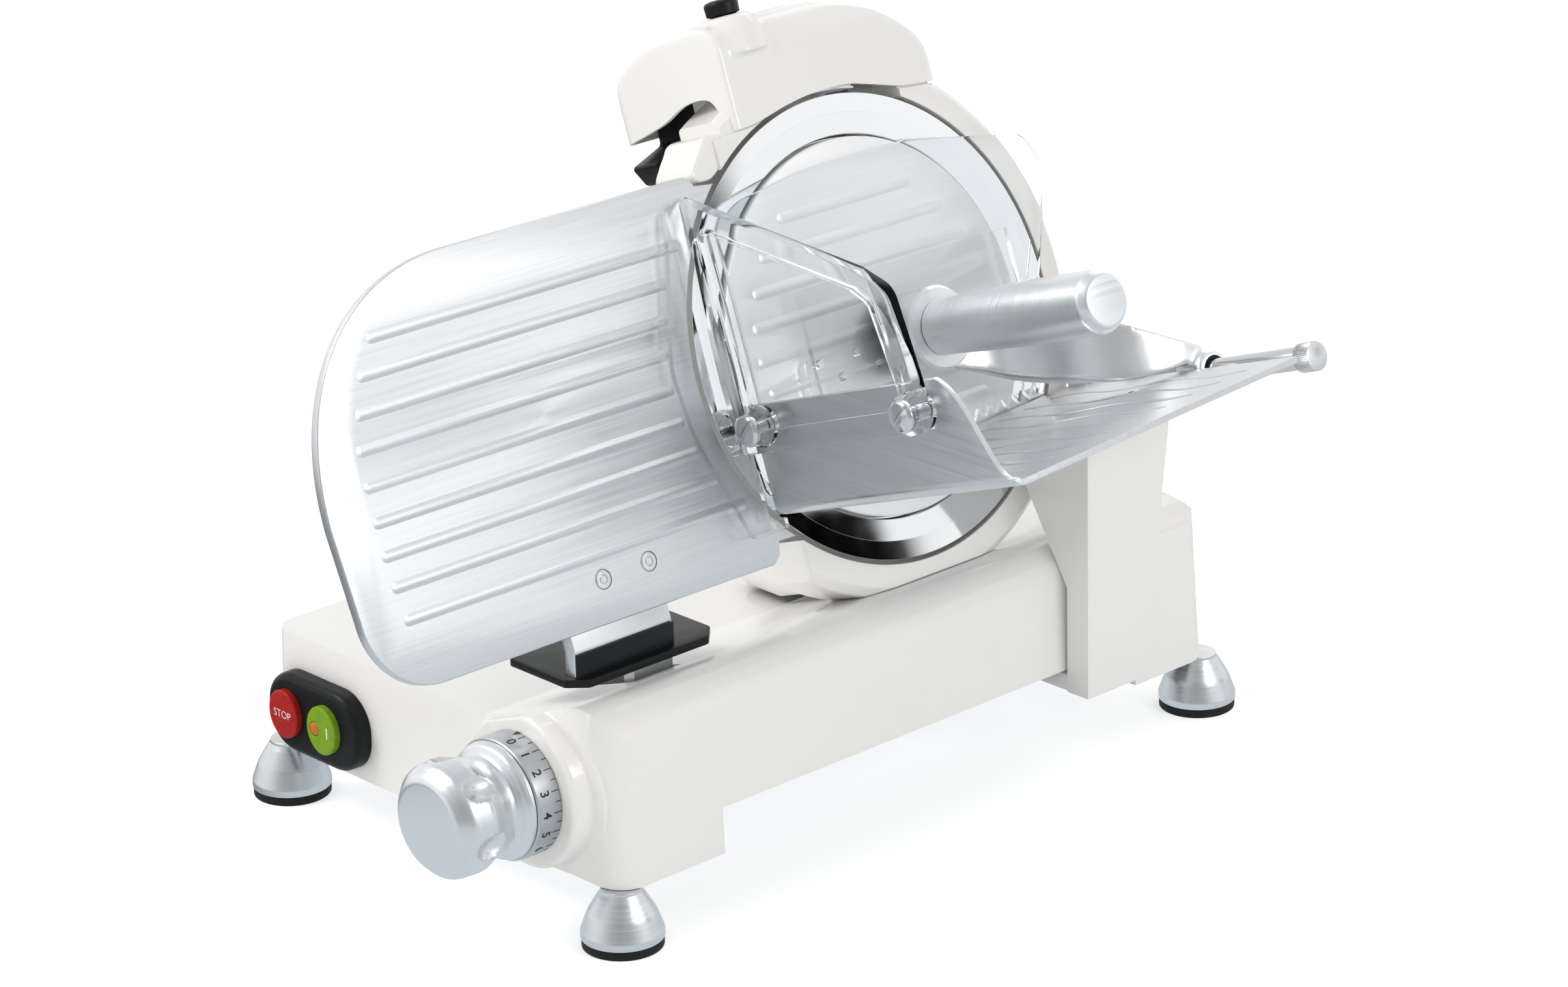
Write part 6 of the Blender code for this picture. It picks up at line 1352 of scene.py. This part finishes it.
class OBJECT_OT_slicer_inside(bpy.types.Operator):
    """Finishes of the inner pieces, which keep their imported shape"""
    bl_idname = "object.slicer_inside"
    bl_label = "Inner pieces"

    def execute(self, context):
        stuff = stuffs()
        for name, finish in INSIDE.items():
            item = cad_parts[name]
            item.data.materials.clear()
            item.data.materials.append(stuff[finish])
        return {"FINISHED"}


# Studio

LAMPS = (("key_lamp", (-0.9, -1.1, 1.7), 1.0, 1.0),
         ("side_lamp", (1.9, 0.4, 1.1), 0.6, 0.40),
         ("back_lamp", (-0.5, 1.6, 1.5), 1.0, 0.20))
LAMP_AIM = Vector((0, 0, 0.15))
FLOOR_GLOW = 0.57
FLOOR_IN_METAL = (0.92, 1.0, 1.06, 1)
SKY_ABOVE, SKY_LEVEL = 0.42, 1.25
SKY_ENDS = ((0.42, 0.43, 0.45, 1), (0.62, 0.65, 0.68, 1))
SKY_STOPS = ((0.33, 0.20), (0.42, 0.52), (0.46, 0.95), (0.58, 1.0), (0.66, 0.95), (0.80, 0.80))
DIM_SIDE, FLAG_SIDE = (0.74, -0.68, 0), (0.648, 0.735, 0.200)


def sight(tree):
    """Whether a ray still looks straight at the set, and whether metal or gloss has turned it."""
    rays = node(tree, "ShaderNodeLightPath").outputs
    bounced = sum_of(tree, "MINIMUM", rays["Glossy Depth"], 1)
    straight = sum_of(tree, "MAXIMUM", rays["Is Camera Ray"], rays["Is Transmission Ray"])
    return sum_of(tree, "SUBTRACT", straight, bounced, use_clamp=True), bounced


def towards(tree, place, direction):
    """How far a place lies in a direction."""
    item = node(tree, "ShaderNodeVectorMath", operation="DOT_PRODUCT")
    return fed(tree, item, place, direction).outputs["Value"]


class OBJECT_OT_slicer_studio(bpy.types.Operator):
    """Pale floor, soft lamps, white surround and the camera"""
    bl_idname = "object.slicer_studio"
    bl_label = "Studio"

    def execute(self, context):
        studio = context.scene.slicer_studio
        self.floor(studio)
        self.surround(context.scene, studio)
        for name, spot, size, share in LAMPS:
            light = bpy.data.lights.new(name, "AREA")
            light.shape = "SQUARE"
            light.size = size
            light.energy = studio.key * share
            item = bpy.data.objects.new(name, light)
            item.location = spot
            item.rotation_euler = (LAMP_AIM - Vector(spot)).to_track_quat("-Z", "Y").to_euler()
            context.scene.collection.objects.link(item)
        self.camera(context.scene, studio)
        context.scene.view_settings.view_transform = "Standard"
        return {"FINISHED"}

    def camera(self, scene, studio):
        """Camera at its spot, turned by its heading, drop and roll."""
        camera = bpy.data.cameras.new(studio.name_of_view)
        camera.lens = studio.lens
        camera.sensor_width = 36
        camera.clip_start, camera.clip_end = 0.05, 30
        item = bpy.data.objects.new(studio.name_of_view, camera)
        sine, cosine = math.sin(studio.heading), math.cos(studio.heading)
        ahead = Vector((-sine * math.cos(studio.drop), cosine * math.cos(studio.drop),
                        -math.sin(studio.drop)))
        right = Vector((cosine, sine, 0))
        up = right.cross(ahead)
        across = math.cos(studio.roll) * right + math.sin(studio.roll) * up
        above = math.cos(studio.roll) * up - math.sin(studio.roll) * right
        turn = Matrix((across, above, -ahead)).transposed().to_4x4()
        item.matrix_world = Matrix.Translation(Vector(studio.spot)) @ turn
        scene.collection.objects.link(item)
        scene.camera = item

    def floor(self, studio):
        """Floor that glows to the eye; gloss sees it only from the slicer's left side on."""
        form = bmesh.new()
        bmesh.ops.create_grid(form, x_segments=1, y_segments=1, size=6)
        item = loose(form, "floor")
        colour = tuple(studio.floor)
        stuff, tree, shader = finish_of("floor_paint", colour, 0.0, 0.9)
        coloured(tree, shader, pattern(tree, 60.0, 2.0), colour, shaded(colour, 1.01))
        seen, bounced = sight(tree)
        glow = node(tree, "ShaderNodeEmission", Color=(1, 1, 1, 1))
        wire(tree, sum_of(tree, "MULTIPLY", seen, FLOOR_GLOW), glow.inputs["Strength"])
        both = fed(tree, node(tree, "ShaderNodeAddShader"), shader.outputs["BSDF"],
                   glow.outputs["Emission"])
        gone = node(tree, "ShaderNodeBsdfTransparent")
        near = node(tree, "ShaderNodeEmission", Color=FLOOR_IN_METAL, Strength=0.72)
        where = node(tree, "ShaderNodeTexCoord")
        parts = fed(tree, node(tree, "ShaderNodeSeparateXYZ"), where.outputs["Object"])
        mirrored = mixed(tree, spread(tree, parts.outputs["X"], 0, 1, -0.24, -0.17),
                         gone.outputs["BSDF"], near.outputs["Emission"])
        last = mixed(tree, bounced, both.outputs["Shader"], mirrored)
        wire(tree, last, tree.nodes["Material Output"].inputs["Surface"])
        item.data.materials.append(stuff)

    def surround(self, scene, studio):
        """White to the eye; a banded sky with a dim side and a dark flag for gloss and metal."""
        world = bpy.data.worlds.new("studio_surround")
        scene.world = world
        world.use_nodes = True
        tree = world.node_tree
        tree.nodes.clear()
        out = node(tree, "ShaderNodeOutputWorld")
        seen, bounced = sight(tree)
        white = node(tree, "ShaderNodeBackground", Color=(1, 1, 1, 1), Strength=1.0)
        lit = node(tree, "ShaderNodeBackground", Color=(1, 1, 1, 1))
        glossy = node(tree, "ShaderNodeBackground")
        place = node(tree, "ShaderNodeTexCoord").outputs["Generated"]
        height = fed(tree, node(tree, "ShaderNodeSeparateXYZ"), place).outputs["Z"]
        ramp = node(tree, "ShaderNodeValToRGB")
        stops = ramp.color_ramp.elements
        stops[0].color, stops[1].color = SKY_ENDS
        for spot, level in SKY_STOPS:
            stops.new(spot).color = (level, level * 1.01, level * 1.02, 1)
        wire(tree, spread(tree, height, 0, 1, -1, 1), ramp.inputs["Fac"])
        wire(tree, ramp.outputs["Color"], glossy.inputs["Color"])
        shade = spread(tree, towards(tree, place, DIM_SIDE), 1, 0.42, 0.35, 0.9)
        flag = spread(tree, towards(tree, place, FLAG_SIDE), 1, 0, 0.9935, 0.9952)
        wire(tree, sum_of(tree, "MULTIPLY", shade, flag), glossy.inputs["Strength"])
        wire(tree, spread(tree, height, SKY_LEVEL * studio.sky, SKY_ABOVE * studio.sky, 0, 1),
             lit.inputs["Strength"])
        turned_light = mixed(tree, bounced, lit.outputs["Background"],
                             glossy.outputs["Background"])
        light = mixed(tree, seen, turned_light, white.outputs["Background"])
        wire(tree, light, out.inputs["Surface"])


MAKERS = (OBJECT_OT_slicer_base, OBJECT_OT_slicer_switches, OBJECT_OT_slicer_knob,
          OBJECT_OT_slicer_gauge, OBJECT_OT_slicer_blade, OBJECT_OT_slicer_housing,
          OBJECT_OT_slicer_sharpener, OBJECT_OT_slicer_carriage, OBJECT_OT_slicer_front_guard,
          OBJECT_OT_slicer_pusher, OBJECT_OT_slicer_inside, OBJECT_OT_slicer_studio)


class VIEW3D_PT_slicer(bpy.types.Panel):
    """Lists the pieces of the slicer and their settings"""
    bl_idname = "VIEW3D_PT_slicer"
    bl_label = "Food Slicer"
    bl_space_type = "VIEW_3D"
    bl_region_type = "UI"
    bl_category = "Slicer"

    def draw(self, context):
        layout = self.layout
        for group in (context.scene.slicer_looks, context.scene.slicer_details,
                      context.scene.slicer_studio):
            box = layout.box()
            for key in group.__annotations__:
                box.prop(group, key)
        for maker in MAKERS:
            layout.operator(maker.bl_idname)


CLASSES = (SlicerLooks, SlicerDetails, SlicerStudio, *MAKERS, VIEW3D_PT_slicer)


def register():
    for item in CLASSES:
        bpy.utils.register_class(item)
    bpy.types.Scene.slicer_looks = PointerProperty(type=SlicerLooks)
    bpy.types.Scene.slicer_details = PointerProperty(type=SlicerDetails)
    bpy.types.Scene.slicer_studio = PointerProperty(type=SlicerStudio)


def unregister():
    del bpy.types.Scene.slicer_looks
    del bpy.types.Scene.slicer_details
    del bpy.types.Scene.slicer_studio
    for item in reversed(CLASSES):
        bpy.utils.unregister_class(item)


def main():
    """Builds the slicer and its studio."""
    register()
    for maker in MAKERS:
        group, action = maker.bl_idname.split(".")
        getattr(getattr(bpy.ops, group), action)()


if __name__ == "__main__":
    main()
